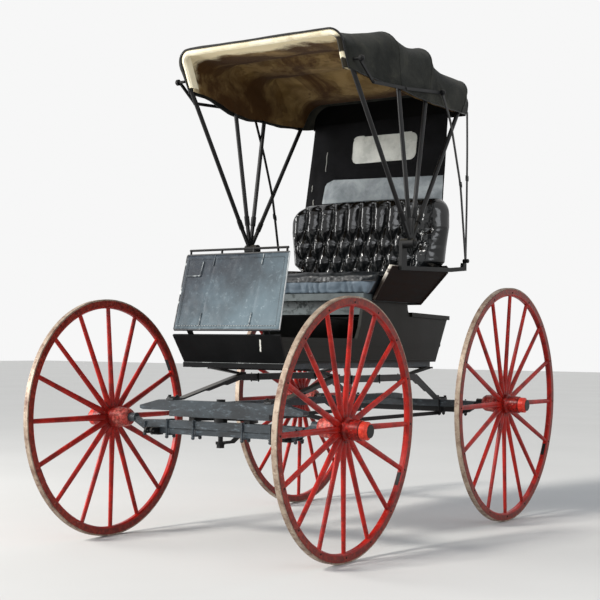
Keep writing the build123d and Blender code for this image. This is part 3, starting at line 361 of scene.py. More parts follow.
black_iron = paint("black_iron_paint", lin(10, 11, 12), lin(70, 74, 76), 0.5, 0.62, 90, 0.1, 0.2)
body_black = paint("body_paint", lin(17, 17, 12), lin(84, 84, 72), 0.4, 0.66, 90, 0.2, 0.14,
                   lin(86, 82, 64))
seat_paint = paint("seat_board_paint", lin(78, 86, 87), lin(44, 50, 50), 0.5, 0.48, 30, 0.15, 0.3)
spring_paint = paint("spring_paint", lin(24, 27, 30), lin(78, 84, 88), 0.48, 0.58, 90, 0.2)
dark_edge = paint("dash_edge_paint", lin(20, 25, 31), lin(150, 156, 158), 0.4, 0.63, 60, 0.2)
chipped_edge = paint("dash_left_edge_paint", lin(18, 22, 27), lin(214, 218, 216), 0.4, 0.50, 30, 0.2)
# Pale paint: thread of the foot stitches, and a painted highlight along the dash's left (+X) edge
pale_stitch_and_highlight = paint("dash_stitch_and_highlight_paint", lin(186, 190, 190), lin(120, 124, 126), 0.4, 0.6, 30, 0.1)
# Pale paint of the dash's raised folds and pocket edges: painted highlight, with some chips
fold_highlight_paint = paint("dash_fold_highlight_paint", lin(70, 78, 84), lin(176, 182, 182), 0.4, 0.45, 40, 0.2)
thread_grey = paint("thread", lin(70, 74, 76), lin(130, 132, 130), 0.7, 0.6, 90, 0.1)
panel_edge = paint("panel_edge_paint", lin(58, 46, 38), lin(206, 200, 188), 0.45, 0.44, 34, 0.1)
bead_paint = paint("bead_paint", lin(96, 100, 100), lin(168, 172, 170), 0.5, 0.5, 40, 0.2)
seat_leather = leather("seat_leather", lin(5, 6, 7), lin(15, 18, 20), 0.11, 420, 0.05, 0.5)
cushion_leather = leather("cushion_leather", lin(8, 10, 12), lin(20, 25, 29), 0.3, 420, 0.3, 0.05,
                          fall=lin(92, 104, 114))
bow_leather = leather("bow_leather", lin(6, 6, 7), lin(18, 18, 19), 0.4, 500, 0.2, 0.0)
strap_leather = leather("strap_leather", lin(8, 8, 8), lin(24, 23, 22), 0.45, 500, 0.3, 0.0)
top_cloth = cloth("top_cloth", lin(31, 32, 29), lin(54, 54, 49), 260, 0.9, 0.05, lin(80, 78, 68), 0.45)
# Near black of the rear head cloth: painted shade for the inside of the top's back
head_painted_shade = cloth("head_cloth", lin(6, 6, 6), lin(12, 12, 12), 260, 0.9, 0.0)
curtain_cloth = cloth("curtain_cloth", lin(9, 9, 10), lin(20, 20, 22), 260, 0.85, 0.0)
band_cloth = cloth("curtain_band_cloth", lin(124, 131, 134), lin(182, 188, 190),
                   260, 0.7, 0.1, lin(96, 100, 104), 0.5)
thread_pale = cloth("pale_thread", lin(120, 120, 116), lin(160, 160, 154), 400, 0.8, 0.1)
beam_paint = worn_beam()

HALF_TRACK, DISH, HALF_TYRE, TYRE_DEEP = 0.640, 0.020, 0.012, 0.007
WHEELS = [("front_left", 1, F, 0.5588, 1.8), ("front_right", -1, F, 0.5588, 1.8),
          ("rear_left", 1, REAR, 0.6096, 1.25), ("rear_right", -1, REAR, 0.6096, 1.25)]
wheel_axes = {}
for name, side, along, radius, camber in WHEELS:
    c = math.radians(camber)
    height = radius * math.cos(c) + (DISH + HALF_TYRE) * math.sin(c)
    reach = HALF_TRACK + radius * math.sin(c) - DISH * math.cos(c)
    centre = Vector((side * reach, along, height))
    axis = Vector((side * math.cos(c), 0, -math.sin(c)))
    wheel_axes[name] = (centre, axis, radius)


def dress(names, material):
    for name in names:
        mesh = nodes[name].data
        mesh.materials.clear()
        mesh.materials.append(material)


def smooth(obj, angle=35):
    obj.data.polygons.foreach_set("use_smooth", [True] * len(obj.data.polygons))
    obj.data.update()
    obj.data.set_sharp_from_angle(angle=math.radians(angle))


steel = tyre_steel()
for name, (centre, axis, radius) in wheel_axes.items():
    dress(["tyre_" + name], steel)
    dress(["wheel_" + name], wheel_red("wheel_red_" + name, centre, axis, radius - TYRE_DEEP))
    dress(["hub_cap_" + name], hub_cap_paint("hub_cap_paint_" + name, centre, axis))
IRON_NAMES = ("front_axle", "rear_axle", "shaft_coupling", "fifth_wheel", "kingbolt", "reach_", "body_loop",
              "dash_", "seat_iron", "top_joint")
dress([n for n in nodes if n.startswith(IRON_NAMES)], black_iron)
dress(["front_bed", "rear_bed", "front_bolster", "perch", "sill_left", "sill_right", "front_axle"],
      beam_paint)
dress(["side_spring_left", "side_spring_right"], spring_paint)
dress(["body_side_left", "body_side_right", "rear_panel", "box_rail", "floor_board"], body_black)
dress(["front_board"], front_board_paint())
dress(["seat_riser", "seat_board"], seat_paint)
dress(["seat_side_left", "seat_side_right", "seat_back"], brown_panel())
dress(["bow_1", "bow_2", "bow_3", "bow_4"], bow_leather)
dress(["rear_window"], window_pane())
for name, obj in nodes.items():
    if name.startswith(("bow_", "hub_cap", "kingbolt", "tyre", "dash_rail", "wheel_")):
        smooth(obj)


# Mesh helpers

def piece(name, form, material, body="carriage", angle=40):
    verts, faces = form
    mesh = bpy.data.meshes.new(name)
    mesh.from_pydata([tuple(v) for v in verts], [], faces)
    mesh.update()
    obj = bpy.data.objects.new(name, mesh)
    bpy.context.scene.collection.objects.link(obj)
    mesh.materials.append(material)
    bm = bmesh.new()
    bm.from_mesh(mesh)
    bmesh.ops.recalc_face_normals(bm, faces=bm.faces)
    bm.to_mesh(mesh)
    bm.free()
    smooth(obj, angle)
    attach(obj, body)
    return obj


def grid_faces(rows, cols, wrap=False, offset=0):
    faces = []
    last = cols if wrap else cols - 1
    for i in range(rows - 1):
        for j in range(last):
            k = (j + 1) % cols
            faces.append((offset + i * cols + j, offset + i * cols + k,
                          offset + (i + 1) * cols + k, offset + (i + 1) * cols + j))
    return faces


def ring_faces(rows, cols, closed=False):
    """Faces of a row of rings, with a cap at each end, or with the last ring joined to the first."""
    faces = grid_faces(rows, cols, wrap=True)
    last = (rows - 1) * cols
    if closed:
        return faces + [(last + k, last + (k + 1) % cols, (k + 1) % cols, k) for k in range(cols)]
    return faces + [tuple(range(cols)), tuple(range(last, last + cols))]


def rim_of(rows, cols):
    """Places of the outer points of a grid, in order."""
    rim = list(range(cols)) + [i * cols + cols - 1 for i in range(1, rows)]
    rim += [(rows - 1) * cols + j for j in range(cols - 2, -1, -1)]
    return rim + [i * cols for i in range(rows - 2, 0, -1)]


def slab(front, back, rows, cols):
    """Closed sheet between two grids of the same size."""
    n = rows * cols
    faces = grid_faces(rows, cols) + [tuple(reversed(f)) for f in grid_faces(rows, cols, offset=n)]
    rim = rim_of(rows, cols)
    faces += [(b, a, a + n, b + n) for a, b in zip(rim, rim[1:] + rim[:1])]
    return front + back, faces


def tube(points, radius, sides=8, closed=False, flat=1.0, up=None):
    """Rings along a line of points; flat squeezes the ring across the up direction."""
    points = [Vector(p) for p in points]
    count = len(points)
    verts = []
    for i, p in enumerate(points):
        before = points[i - 1] if i > 0 or closed else p
        after = points[(i + 1) % count] if i < count - 1 or closed else p
        t = (after - before).normalized()
        guide = Vector(up) if up else (Vector((0, 0, 1)) if abs(t.z) < 0.9 else Vector((1, 0, 0)))
        a = t.cross(guide).normalized()
        b = a.cross(t).normalized()
        for k in range(sides):
            turn = 2 * math.pi * k / sides
            verts.append(p + a * math.cos(turn) * radius + b * math.sin(turn) * radius * flat)
    return verts, ring_faces(count, sides, closed)


def ribbon(points, width, thick, across):
    """Flat strap along points; across gives the direction of its width."""
    points = [Vector(p) for p in points]
    across = Vector(across).normalized()
    verts = []
    for i, p in enumerate(points):
        t = (points[min(i + 1, len(points) - 1)] - points[max(i - 1, 0)]).normalized()
        a = (across - t * across.dot(t)).normalized()
        n = t.cross(a).normalized()
        for da, dn in ((-1, -0.6), (-0.85, -1), (0.85, -1), (1, -0.6),
                       (1, 0.6), (0.85, 1), (-0.85, 1), (-1, 0.6)):
            verts.append(p + a * da * width / 2 + n * dn * thick / 2)
    return verts, ring_faces(len(points), 8)


def spun(profile, centre, axis, sides=16):
    """Turned form: profile rows of (place along axis, radius), closed at both ends."""
    axis = Vector(axis).normalized()
    guide = Vector((0, 0, 1)) if abs(axis.z) < 0.9 else Vector((0, 1, 0))
    a = axis.cross(guide).normalized()
    b = axis.cross(a).normalized()
    verts = []
    for along, radius in profile:
        for k in range(sides):
            turn = 2 * math.pi * k / sides
            verts.append(Vector(centre) + axis * along + (a * math.cos(turn) + b * math.sin(turn)) * radius)
    return verts, ring_faces(len(profile), sides)


def block(low, high, bevel=0.0015):
    """Box with chamfered edges."""
    bm = bmesh.new()
    bmesh.ops.create_cube(bm, size=1.0)
    size = Vector(high) - Vector(low)
    middle = (Vector(high) + Vector(low)) / 2
    for v in bm.verts:
        v.co = Vector((v.co.x * size.x, v.co.y * size.y, v.co.z * size.z)) + middle
    bmesh.ops.bevel(bm, geom=bm.edges[:], offset=bevel, segments=2, affect="EDGES")
    verts = [v.co.copy() for v in bm.verts]
    bm.verts.index_update()
    faces = [tuple(v.index for v in f.verts) for f in bm.faces]
    bm.free()
    return verts, faces


def joined(parts):
    verts, faces = [], []
    for v, f in parts:
        base = len(verts)
        verts += v
        faces += [tuple(i + base for i in face) for face in f]
    return verts, faces


def dome(centre, axis, radius, height, sides=14):
    rows = [(-0.001, radius), (0.25 * height, radius), (0.6 * height, 0.85 * radius),
            (0.9 * height, 0.5 * radius), (height, 0.12 * radius)]
    return spun(rows, centre, axis, sides)


def nut(centre, radius, height):
    rows = [(0, 0.9 * radius), (0.12 * height, radius), (0.88 * height, radius), (height, 0.88 * radius)]
    return spun(rows, centre, (0, 0, 1), 6)


def ripple(x, y, z, scale, seed=0.0):
    return noise.noise(Vector((x * scale + seed, y * scale - seed, z * scale + 2 * seed)))


def soft_step(value, low, high):
    t = max(0.0, min(1.0, (value - low) / (high - low)))
    return t * t * (3 - 2 * t)


# Top: cover, lining, front band

def bow_point(x, w, lean):
    a = math.radians(lean)
    return Vector((x, PIVOT[1] + w * math.sin(a), PIVOT[2] + w * math.cos(a)))


def bow_side(half, reach, grow, height):
    run, rise = half - PIVOT[0], reach - BOW_START
    length = math.hypot(run, rise)
    return PIVOT[0] + grow * rise / length + (height - (BOW_START - grow * run / length)) * run / rise


SIDE_N, ARC_N, TOP_N = 7, 9, 20
REAR_Y, REAR_LEAN, REAR_HALF, REAR_TALL = F + 1.526, math.radians(14), 0.468, 0.128


def outline(wide_foot, wide_top, foot, top, radius):
    """Cross-section of the top, from its left foot (+X) over the roof to its right foot."""
    lean = (wide_top - wide_foot) / (top - foot)
    left = [(wide_foot + (wide_top - wide_foot) * i / SIDE_N, foot + (top - radius - foot) * i / SIDE_N)
            for i in range(SIDE_N)]
    for i in range(ARC_N):
        turn = math.pi / 2 * i / (ARC_N - 1)
        left.append((wide_top - lean * radius * (1 - math.sin(turn)) - radius * (1 - math.cos(turn)),
                     top - radius * (1 - math.sin(turn))))
    roof = [(left[-1][0] * (1 - 2 * i / TOP_N), top) for i in range(1, TOP_N)]
    return left + roof + [(-x, w) for x, w in reversed(left)]


def section(half, reach, out, foot, radius):
    """Outline of the top at one station, in the plane of its bow."""
    top = reach + out
    return outline(bow_side(half, reach, out, foot), bow_side(half, reach, out, top), foot, top, radius)


def rear_ring(grow, low):
    """Outline of the top in its rear plane."""
    wide, drop = REAR_HALF + grow, (VALANCE - low) / math.cos(REAR_LEAN)
    return [Vector((x, REAR_Y + w * math.sin(REAR_LEAN), VALANCE + w * math.cos(REAR_LEAN)))
            for x, w in outline(wide, wide, -drop, REAR_TALL + grow, CORNER)]


# Lower edge at the front; lift of the roof and change of the lower edge at each bow
FRONT_LOW = 2.160
RAISE = [0.0, 0.030, 0.030, 0.026]
HANG = [0.016, 0.0, -0.016, -0.014]


def roof_share(p):
    """0 on the sides of the top, 1 on its roof."""
    return max(0.0, min(1.0, (p.z - (VALANCE + 0.03)) / 0.12))


def station(index, grow, low, lift=1.0):
    lean, half, reach, room = BOWS[index]
    foot = (low + HANG[index] - PIVOT[2]) / math.cos(math.radians(lean))
    out = BOW_R + room + grow
    ring = [bow_point(x, w, lean) for x, w in section(half, reach, out, foot, CORNER + max(out, -0.02))]
    for p in ring:
        p.z += RAISE[index] * lift * roof_share(p)
    return ring


# Front edge: leans of its foot and its top in degrees, corner radius, drawing in at the foot
FOOT_LEAN, TOP_LEAN, FRONT_CORNER, FRONT_NARROW = -37.6, -36.2, 0.062, 0.022


def front_ring(grow, low, turned=0.0):
    """Front edge: drawn in at the foot, with tight corners, set a little to the left (+X)."""
    half, reach, room = BOWS[0][1:]
    foot_lean, top_lean = FOOT_LEAN + turned, TOP_LEAN + turned
    foot = (low - PIVOT[2]) / math.cos(math.radians(foot_lean))
    out = BOW_R + room + grow
    ring = []
    for x, w in section(half, reach, out, foot, FRONT_CORNER + grow):
        u = max(0.0, min(1.0, (w - foot) / (reach + out - foot)))
        tight = 1 - FRONT_NARROW * (1 - 0.5 * u) / half
        shift = 0.009 + (0.012 * u * min(1.0, -x / half) if x < 0 else 0.0)
        ring.append(bow_point(x * tight + shift, w, foot_lean + (top_lean - foot_lean) * u))
    return ring


# Spans between the stations: steps, sag of the roof, where the sag is deepest, draw of the sides
SPANS = [(3, 0.000, 0.5, 0.0), (9, 0.020, 0.35, 1.0), (9, 0.030, 0.5, 1.0), (10, 0.062, 0.27, 1.0),
         (5, 0.010, 0.5, 0.4)]

# Extra drop of the lower edge on the right side (-X), at each station; how far the sides draw in
FAR_DROP = [0.0, 0.0, 0.036, 0.016, 0.004, 0.0]
SIDE_SAG = 0.004


def top_grid(grow, low, front_low, spans, seed, rough, lift=1.0):
    """Rows of points from the front edge to the rear edge of a skin over the bows."""
    rings = [front_ring(grow, front_low)]
    rings += [station(i, grow, low, lift) for i in range(4)] + [rear_ring(grow, low)]
    count = len(rings[0])
    rows = []
    for a, (steps, sag, deep, draw) in enumerate(spans):
        power = math.log(0.5) / math.log(deep)
        for i in range(steps):
            u = i / steps
            skew = u ** power
            dip = 4 * skew * (1 - skew)
            row = []
            for k in range(count):
                p = rings[a][k].lerp(rings[a + 1][k], u)
                x = 2 * k / (count - 1) - 1
                roof = roof_share(p)
                p.z -= dip * sag * (0.62 + 0.38 * abs(x)) * roof
                if p.x < 0:
                    fall = soft_step(u, 0.35, 1.0)
                    p.z -= (FAR_DROP[a] + (FAR_DROP[a + 1] - FAR_DROP[a]) * fall) * (1 - roof)
                p.x -= math.copysign(1, p.x) * dip * SIDE_SAG * draw * (1 - roof * 0.4)
                p.z += rough * 1.5 * ripple(p.x, p.y, 0, 9, seed) * roof
                p.x += rough * ripple(0, p.y, p.z, 14, seed + 3) * (1 - roof)
                row.append(p)
            rows.append(row)
    rows.append([p.copy() for p in rings[len(spans)]])
    return rows


def hem(rows, depth, seed):
    """Uneven lower edge: the first and last points of each row move a little."""
    for row in rows:
        for end in (0, -1):
            wave = depth * ripple(0, row[end].y, 0, 7, seed + end)
            wave += 0.35 * depth * ripple(0, row[end].y, 1, 23, seed)
            row[end].z += wave
            row[end + 1 if end == 0 else -2].z += wave * 0.6
    return rows


def inward(rows, thick):
    """The same grid moved in along the surface normals."""
    m, n = len(rows), len(rows[0])
    moved = []
    for i in range(m):
        line = []
        for k in range(n):
            du = rows[min(i + 1, m - 1)][k] - rows[max(i - 1, 0)][k]
            dv = rows[i][min(k + 1, n - 1)] - rows[i][max(k - 1, 0)]
            normal = du.cross(dv)
            if normal.length < 1e-9:
                normal = Vector((0, 0, 1))
            normal.normalize()
            middle = Vector((0, rows[i][k].y, 2.0))
            if normal.dot(rows[i][k] - middle) > 0:
                normal = -normal
            line.append(rows[i][k] + normal * thick)
        moved.append(line)
    return moved


def skin(name, rows, thick, material):
    """Closed sheet from rows of points, thickened inward."""
    inner = inward(rows, thick)
    form = slab([p for r in rows for p in r], [p for r in inner for p in r], len(rows), len(rows[0]))
    return piece(name, form, material, angle=50)


cover_rows = hem(top_grid(0.006, VALANCE, FRONT_LOW, SPANS, 1.7, 0.003), 0.004, 2.0)
cover = skin("top_cover_cloth", cover_rows, 0.0025, top_cloth)
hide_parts("top_cover")

LINING_SPANS = [(4, 0.0, 0.5, 0.0), (9, 0.030, 0.5, -0.5), (9, 0.034, 0.5, -0.5), (9, 0.036, 0.42, -0.5)]
lining_rows = top_grid(-0.0255, VALANCE + 0.006, FRONT_LOW + 0.004, LINING_SPANS, 5.1, 0.006, lift=0.0)
lining_rows = hem(lining_rows, 0.004, 7.0)
lining = skin("top_lining", lining_rows, 0.0015, stained_lining())

# Rear head cloth: closes the top behind the last bow, from the roof down to the rear curtain
head = rear_ring(0.004, VALANCE - 0.010)
steps = 8
across = (len(head) - 1) // 2
front, back = [], []
for i in range(steps):
    for k in range(across + 1):
        a, b = head[k], head[len(head) - 1 - k]
        p = a.lerp(b, i / (steps - 1))
        wave = 0.003 * ripple(p.x, 0, p.z, 9, 4.0)
        front.append(p + Vector((0, -0.0050 + wave, 0)))
        back.append(p + Vector((0, -0.0025 + wave, 0)))
# Its near-black colour is painted shade inside the back of the top
head_cloth = piece("rear_head_cloth", slab(front, back, steps, across + 1), head_painted_shade, angle=50)

# Front edge: cream facing inside, dark binding outside
band_rows = [front_ring(grow, FRONT_LOW + 0.004, turned)
             for turned, grow in ((-0.1, -0.001), (-0.5, -0.008), (-0.62, -0.018), (-0.4, -0.0275),
                                  (0.6, -0.0285), (1.8, -0.0285))]
for row in band_rows:
    for p in row:
        p.z += 0.002 * ripple(p.x, p.y, p.z, 18, 3.0)
band = skin("front_lining_band", band_rows, 0.0015, front_facing())
piece("front_edge_binding", tube(front_ring(0.004, FRONT_LOW, -0.2), 0.0048), bow_leather)
low_edge = []
for end in (0, -1):
    line = [row[end] + Vector((0, 0, 0.001)) for row in cover_rows]
    low_edge.append(tube(line, 0.0028, 6))
low_edge.append(tube(cover_rows[-1], 0.004, 6))
piece("cover_edge_binding", joined(low_edge), bow_leather)

# Welts over the second, third and fourth bow
welts = [tube(station(index, 0.0062, VALANCE), 0.0032, 6, flat=0.6) for index in (1, 2, 3)]
piece("cover_welts", joined(welts), top_cloth)


# Rear curtain and window

CURTAIN_LOW = Vector((0, F + 1.434, 1.640))
CURTAIN_RUN, CURTAIN_RISE = 0.085, 0.510
TILT = math.atan2(CURTAIN_RUN, CURTAIN_RISE)
CURTAIN_LEN = math.hypot(CURTAIN_RUN, CURTAIN_RISE)


def curtain_point(x, w, off=0.0):
    wave = 0.004 * ripple(x, 0, w, 6, 1.0) + 0.002 * math.sin(x * 21 + w * 4)
    d = off + wave
    return CURTAIN_LOW + Vector((x, w * math.sin(TILT) - d * math.cos(TILT),
                                 w * math.cos(TILT) + d * math.sin(TILT)))


def rounded(half_w, half_h, radius, count):
    """Points of a rounded rectangle: in each quarter half a side, the corner, and half the next side."""
    pts = []
    per = count // 4
    for q, (sx, sy) in enumerate(((1, 1), (-1, 1), (-1, -1), (1, -1))):
        for i in range(per):
            t = i / per
            if 0.25 <= t < 0.75:
                turn = (q + (t - 0.25) / 0.5) * math.pi / 2
                pts.append((sx * (half_w - radius) + radius * math.cos(turn),
                            sy * (half_h - radius) + radius * math.sin(turn)))
                continue
            first = t < 0.25
            run = t / 0.25 if first else 1 - (t - 0.75) / 0.25
            if first == (q % 2 == 0):
                pts.append((sx * half_w, sy * (half_h - radius) * run))
            else:
                pts.append((sx * (half_w - radius) * run, sy * half_h))
    return pts


def ring_sheet(name, inner, outer, middle, rows, off, material):
    """Closed sheet between two outlines on the curtain."""
    front, back = [], []
    per = len(inner)
    for i in range(rows):
        u = i / (rows - 1)
        for (xi, yi), (xo, yo) in zip(inner, outer):
            x, w = xi + (xo - xi) * u, middle + yi + (yo - yi) * u
            front.append(curtain_point(x, w, off + 0.0012))
            back.append(curtain_point(x, w, off - 0.0012))
    n = len(front)
    faces = grid_faces(rows, per, wrap=True)
    faces += [tuple(reversed(q)) for q in grid_faces(rows, per, wrap=True, offset=n)]
    for base in (0, (rows - 1) * per):
        for k in range(per):
            m = (k + 1) % per
            faces.append((base + k, base + m, base + m + n, base + k + n))
    return piece(name, (front + back, faces), material, angle=50)


# Points round the window, height of its middle on the curtain, and the curtain's two edges at its foot
PER, WIN_MID = 96, 0.352
CURTAIN_RIGHT, CURTAIN_LEFT, TAPER = -0.474, 0.383, 0.014
outer = []
for x, y in rounded(0.42, CURTAIN_LEN / 2, 0.002, PER):
    w = CURTAIN_LEN / 2 + y
    inset = TAPER * w / CURTAIN_LEN
    right, left = CURTAIN_RIGHT + inset, CURTAIN_LEFT - inset
    outer.append(((right + left) / 2 + x / 0.42 * (left - right) / 2, w - WIN_MID))
curtain = ring_sheet("rear_curtain_cloth", rounded(0.204, 0.082, 0.040, PER), outer, WIN_MID, 14, 0.0,
                     curtain_cloth)
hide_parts("rear_curtain")
ring_sheet("window_frame", rounded(0.199, 0.077, 0.036, PER), rounded(0.224, 0.102, 0.058, PER), WIN_MID, 4,
           0.0034, curtain_cloth)

# Faded lower part of the curtain, with one rounded corner, and the slits of its lacing
rows, cols = 12, 44
front, back = [], []
for i in range(rows):
    w = 0.004 + 0.186 * i / (rows - 1)
    corner = max(0.0, (w - 0.150) / 0.040)
    far = -0.368 + 0.016 * w / 0.19 + 0.050 * (1 - math.sqrt(max(0.0, 1 - corner * corner)))
    near = 0.379 - 0.014 * w / CURTAIN_LEN
    for j in range(cols):
        across = j / (cols - 1)
        x, z = far + (near - far) * across, w - 0.018 * across * i / (rows - 1)
        front.append(curtain_point(x, z, 0.0045))
        back.append(curtain_point(x, z, 0.0025))
lower_band = piece("rear_curtain_band", slab(front, back, rows, cols), band_cloth, angle=50)
slits = []
for x, low, high in ((-0.362, 0.244, 0.356), (-0.441, 0.132, 0.168), (-0.425, 0.033, 0.085)):
    line = [curtain_point(x + 0.0015 * math.sin(5 * k), low + (high - low) * k / 8, 0.0020) for k in range(9)]
    slits.append(ribbon(line, 0.0045, 0.0024, (1, 0, 0)))
piece("curtain_slits", joined(slits), thread_pale)


# Seat back: tufted squab

# Half width by height; spacing of the buttons, place and number of their rows; foot, back and depth
SQUAB_SIDE = [(1.2763, 0.378), (1.303, 0.391), (1.345, 0.432), (1.43, 0.442), (1.526, 0.457), (1.64, 0.457)]
TUFT_W, TUFT_H, TUFT_Z = 0.0415, 0.088, 1.277
TOP_ROW = 3
Z0, SQUAB_BACK, SQUAB_DEEP = 1.2775, F + 1.370, 0.127
SQUAB_ROWS, SQUAB_COLS = 170, 360
# Rounding at the sides and the top; where the buttoning ends on each side; depth of the creases, forward
# curve of the two wings, lean of the top
SIDE_ROUND, TOP_ROUND, TUFTED_LEFT, TUFTED_RIGHT = 0.22, 0.14, 0.72, 0.86
CREASE, WING_LEFT, WING_RIGHT, TOP_BACK = 0.034, -0.014, 0.046, 0.030


def squab_half(z):
    for (z0, a), (z1, b) in zip(SQUAB_SIDE[:-1], SQUAB_SIDE[1:]):
        if z <= z1:
            return a + (b - a) * max(0.0, z - z0) / (z1 - z0)
    return SQUAB_SIDE[-1][1]


def squab_top(s):
    a = abs(s)
    flat = 1.690 - 0.014 * a * a
    start, drop = (0.83, 0.085) if s > 0 else (0.70, 0.120)
    if a > start:
        t = (a - start) / (1 - start)
        flat -= drop * (1 - math.sqrt(max(0.0, 1 - t * t)))
    return flat + 0.0016 * ripple(s, 0, 0, 14, 8.0)


def tuft(x, z):
    """Height of the buttoned surface: 0 along the creases, 1 on a full pleat; upright channels at the top."""
    u, w = x / TUFT_W, (z - TUFT_Z) / TUFT_H
    u += 0.16 * ripple(x, 0, z, 9, 1.0)
    w += 0.10 * ripple(x, 0, z, 11, 5.0)
    if w > TOP_ROW:
        w = TOP_ROW
    return (abs(math.sin(math.pi * (u + w) / 2)) * abs(math.sin(math.pi * (u - w) / 2))) ** 0.58


TUFTS = [(col * TUFT_W, TUFT_Z + row * TUFT_H, 0.0) for row in range(0, TOP_ROW + 1) for col in range(-11, 12)
         if (row + col) % 2 == 0]
WING_BUTTONS = [(0.386, 1.512, 0.024), (0.345, 1.430, 0.022), (-0.398, 1.470, 0.016)]


def creases(x, z, dots, reach, count):
    """Short folds that run out from each button."""
    total = 0.0
    for bx, bz, deep in dots:
        dx, dz = x - bx, z - bz
        if abs(dx) < 2.6 * reach and abs(dz) < 2.6 * reach:
            r = math.hypot(dx, dz)
            turn = math.atan2(dz, dx)
            fold = math.sin(count * turn + 9 * bx + 40 * r) * (0.6 + 0.4 * math.sin(3 * turn + 31 * bz))
            total += 0.0030 * fold * math.exp(-r / reach) * min(1.0, r / 0.006)
            total -= deep * math.exp(-(r / 0.021) ** 1.3)
    return total


def squab_mesh():
    front, rim = [], []
    for i in range(SQUAB_ROWS):
        t = i / (SQUAB_ROWS - 1)
        for j in range(SQUAB_COLS):
            s = 2 * j / (SQUAB_COLS - 1) - 1
            z = Z0 + t * (squab_top(s) - Z0)
            x = s * (squab_half(z) + (0.014 * soft_step(z, 1.30, 1.36) if s < 0 else 0.0))
            edge, edge_z = min(1.0, (1 - abs(s)) / SIDE_ROUND), min(1.0, (1 - t) / TOP_ROUND)
            round_off = math.sqrt(max(0.0, 1 - (1 - edge) ** 2.6))
            round_off *= math.sqrt(max(0.0, 1 - (1 - edge_z) ** 2.4))
            reach = TUFTED_LEFT if s > 0 else TUFTED_RIGHT
            inside = (1 - soft_step(abs(s), reach, reach + 0.07)) * (1 - soft_step(t, 0.90, 0.985))
            h = tuft(x, z)
            deep = SQUAB_DEEP - CREASE * (1 - h) * inside
            wing = max(0.0, (abs(s) - 0.70) / 0.30) ** 1.5
            deep += (WING_RIGHT if s < 0 else WING_LEFT) * wing
            deep += creases(x, z, TUFTS, 0.016, 9) * inside
            if inside < 0.9:
                deep += creases(x, z, WING_BUTTONS, 0.020, 13) * (1 - inside)
            deep -= TOP_BACK * t ** 1.5
            deep += 0.0022 * ripple(x, 0, z, 22, 4.0) + 0.0016 * ripple(x, 0, z, 55, 6.0)
            if t > 0.90 and abs(s) < reach:
                deep -= 0.004 * (1 - abs(math.sin(math.pi * (x / TUFT_W) / 2))) * (1 - t) / 0.1
            deep *= 0.90 + 0.10 * min(1.0, t / 0.04)
            front.append(Vector((x, SQUAB_BACK - 0.010 - (deep - 0.010) * round_off, z)))
    faces = grid_faces(SQUAB_ROWS, SQUAB_COLS)
    ring = rim_of(SQUAB_ROWS, SQUAB_COLS)
    base, n = len(front), len(ring)
    for k in ring:
        p = front[k]
        rim.append(Vector((p.x * 0.988, SQUAB_BACK, Z0 + (p.z - Z0) * 0.990)))
    for k in range(n):
        m = (k + 1) % n
        faces.append((ring[m], ring[k], base + k, base + m))
    faces.append(tuple(range(base, base + n)))
    return front + rim, faces


squab_form = squab_mesh()
squab = piece("seat_squab_leather", squab_form, seat_leather, angle=80)
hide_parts("seat_squab")
squab_front = squab_form[0][:SQUAB_ROWS * SQUAB_COLS]


def on_squab(x, z):
    """Front of the squab near a point, for the buttons."""
    return min(squab_front, key=lambda p: (p.x - x) ** 2 + (p.z - z) ** 2)


buttons = []
for x, z, deep in TUFTS + WING_BUTTONS:
    if deep == 0.0 and (z < 1.30 or not -TUFTED_RIGHT < x / squab_half(z) < TUFTED_LEFT):
        continue
    buttons.append(dome(on_squab(x, z) + Vector((0, -0.001, 0)), (0, -1, 0), 0.0068, 0.0045, 12))
piece("squab_buttons", joined(buttons), seat_leather)


# Seat cushion

# Half width at the foot and how much the top is wider, height of the foot, middle of the profile, and
# the share of the half width where the ends begin to round off
CUSHION_HALF, CUSHION_WIDER, CUSHION_FOOT = 0.306, 0.052, 1.165
CUSHION_Y, CUSHION_Z, CUSHION_END = 1.08, 1.215, 0.93


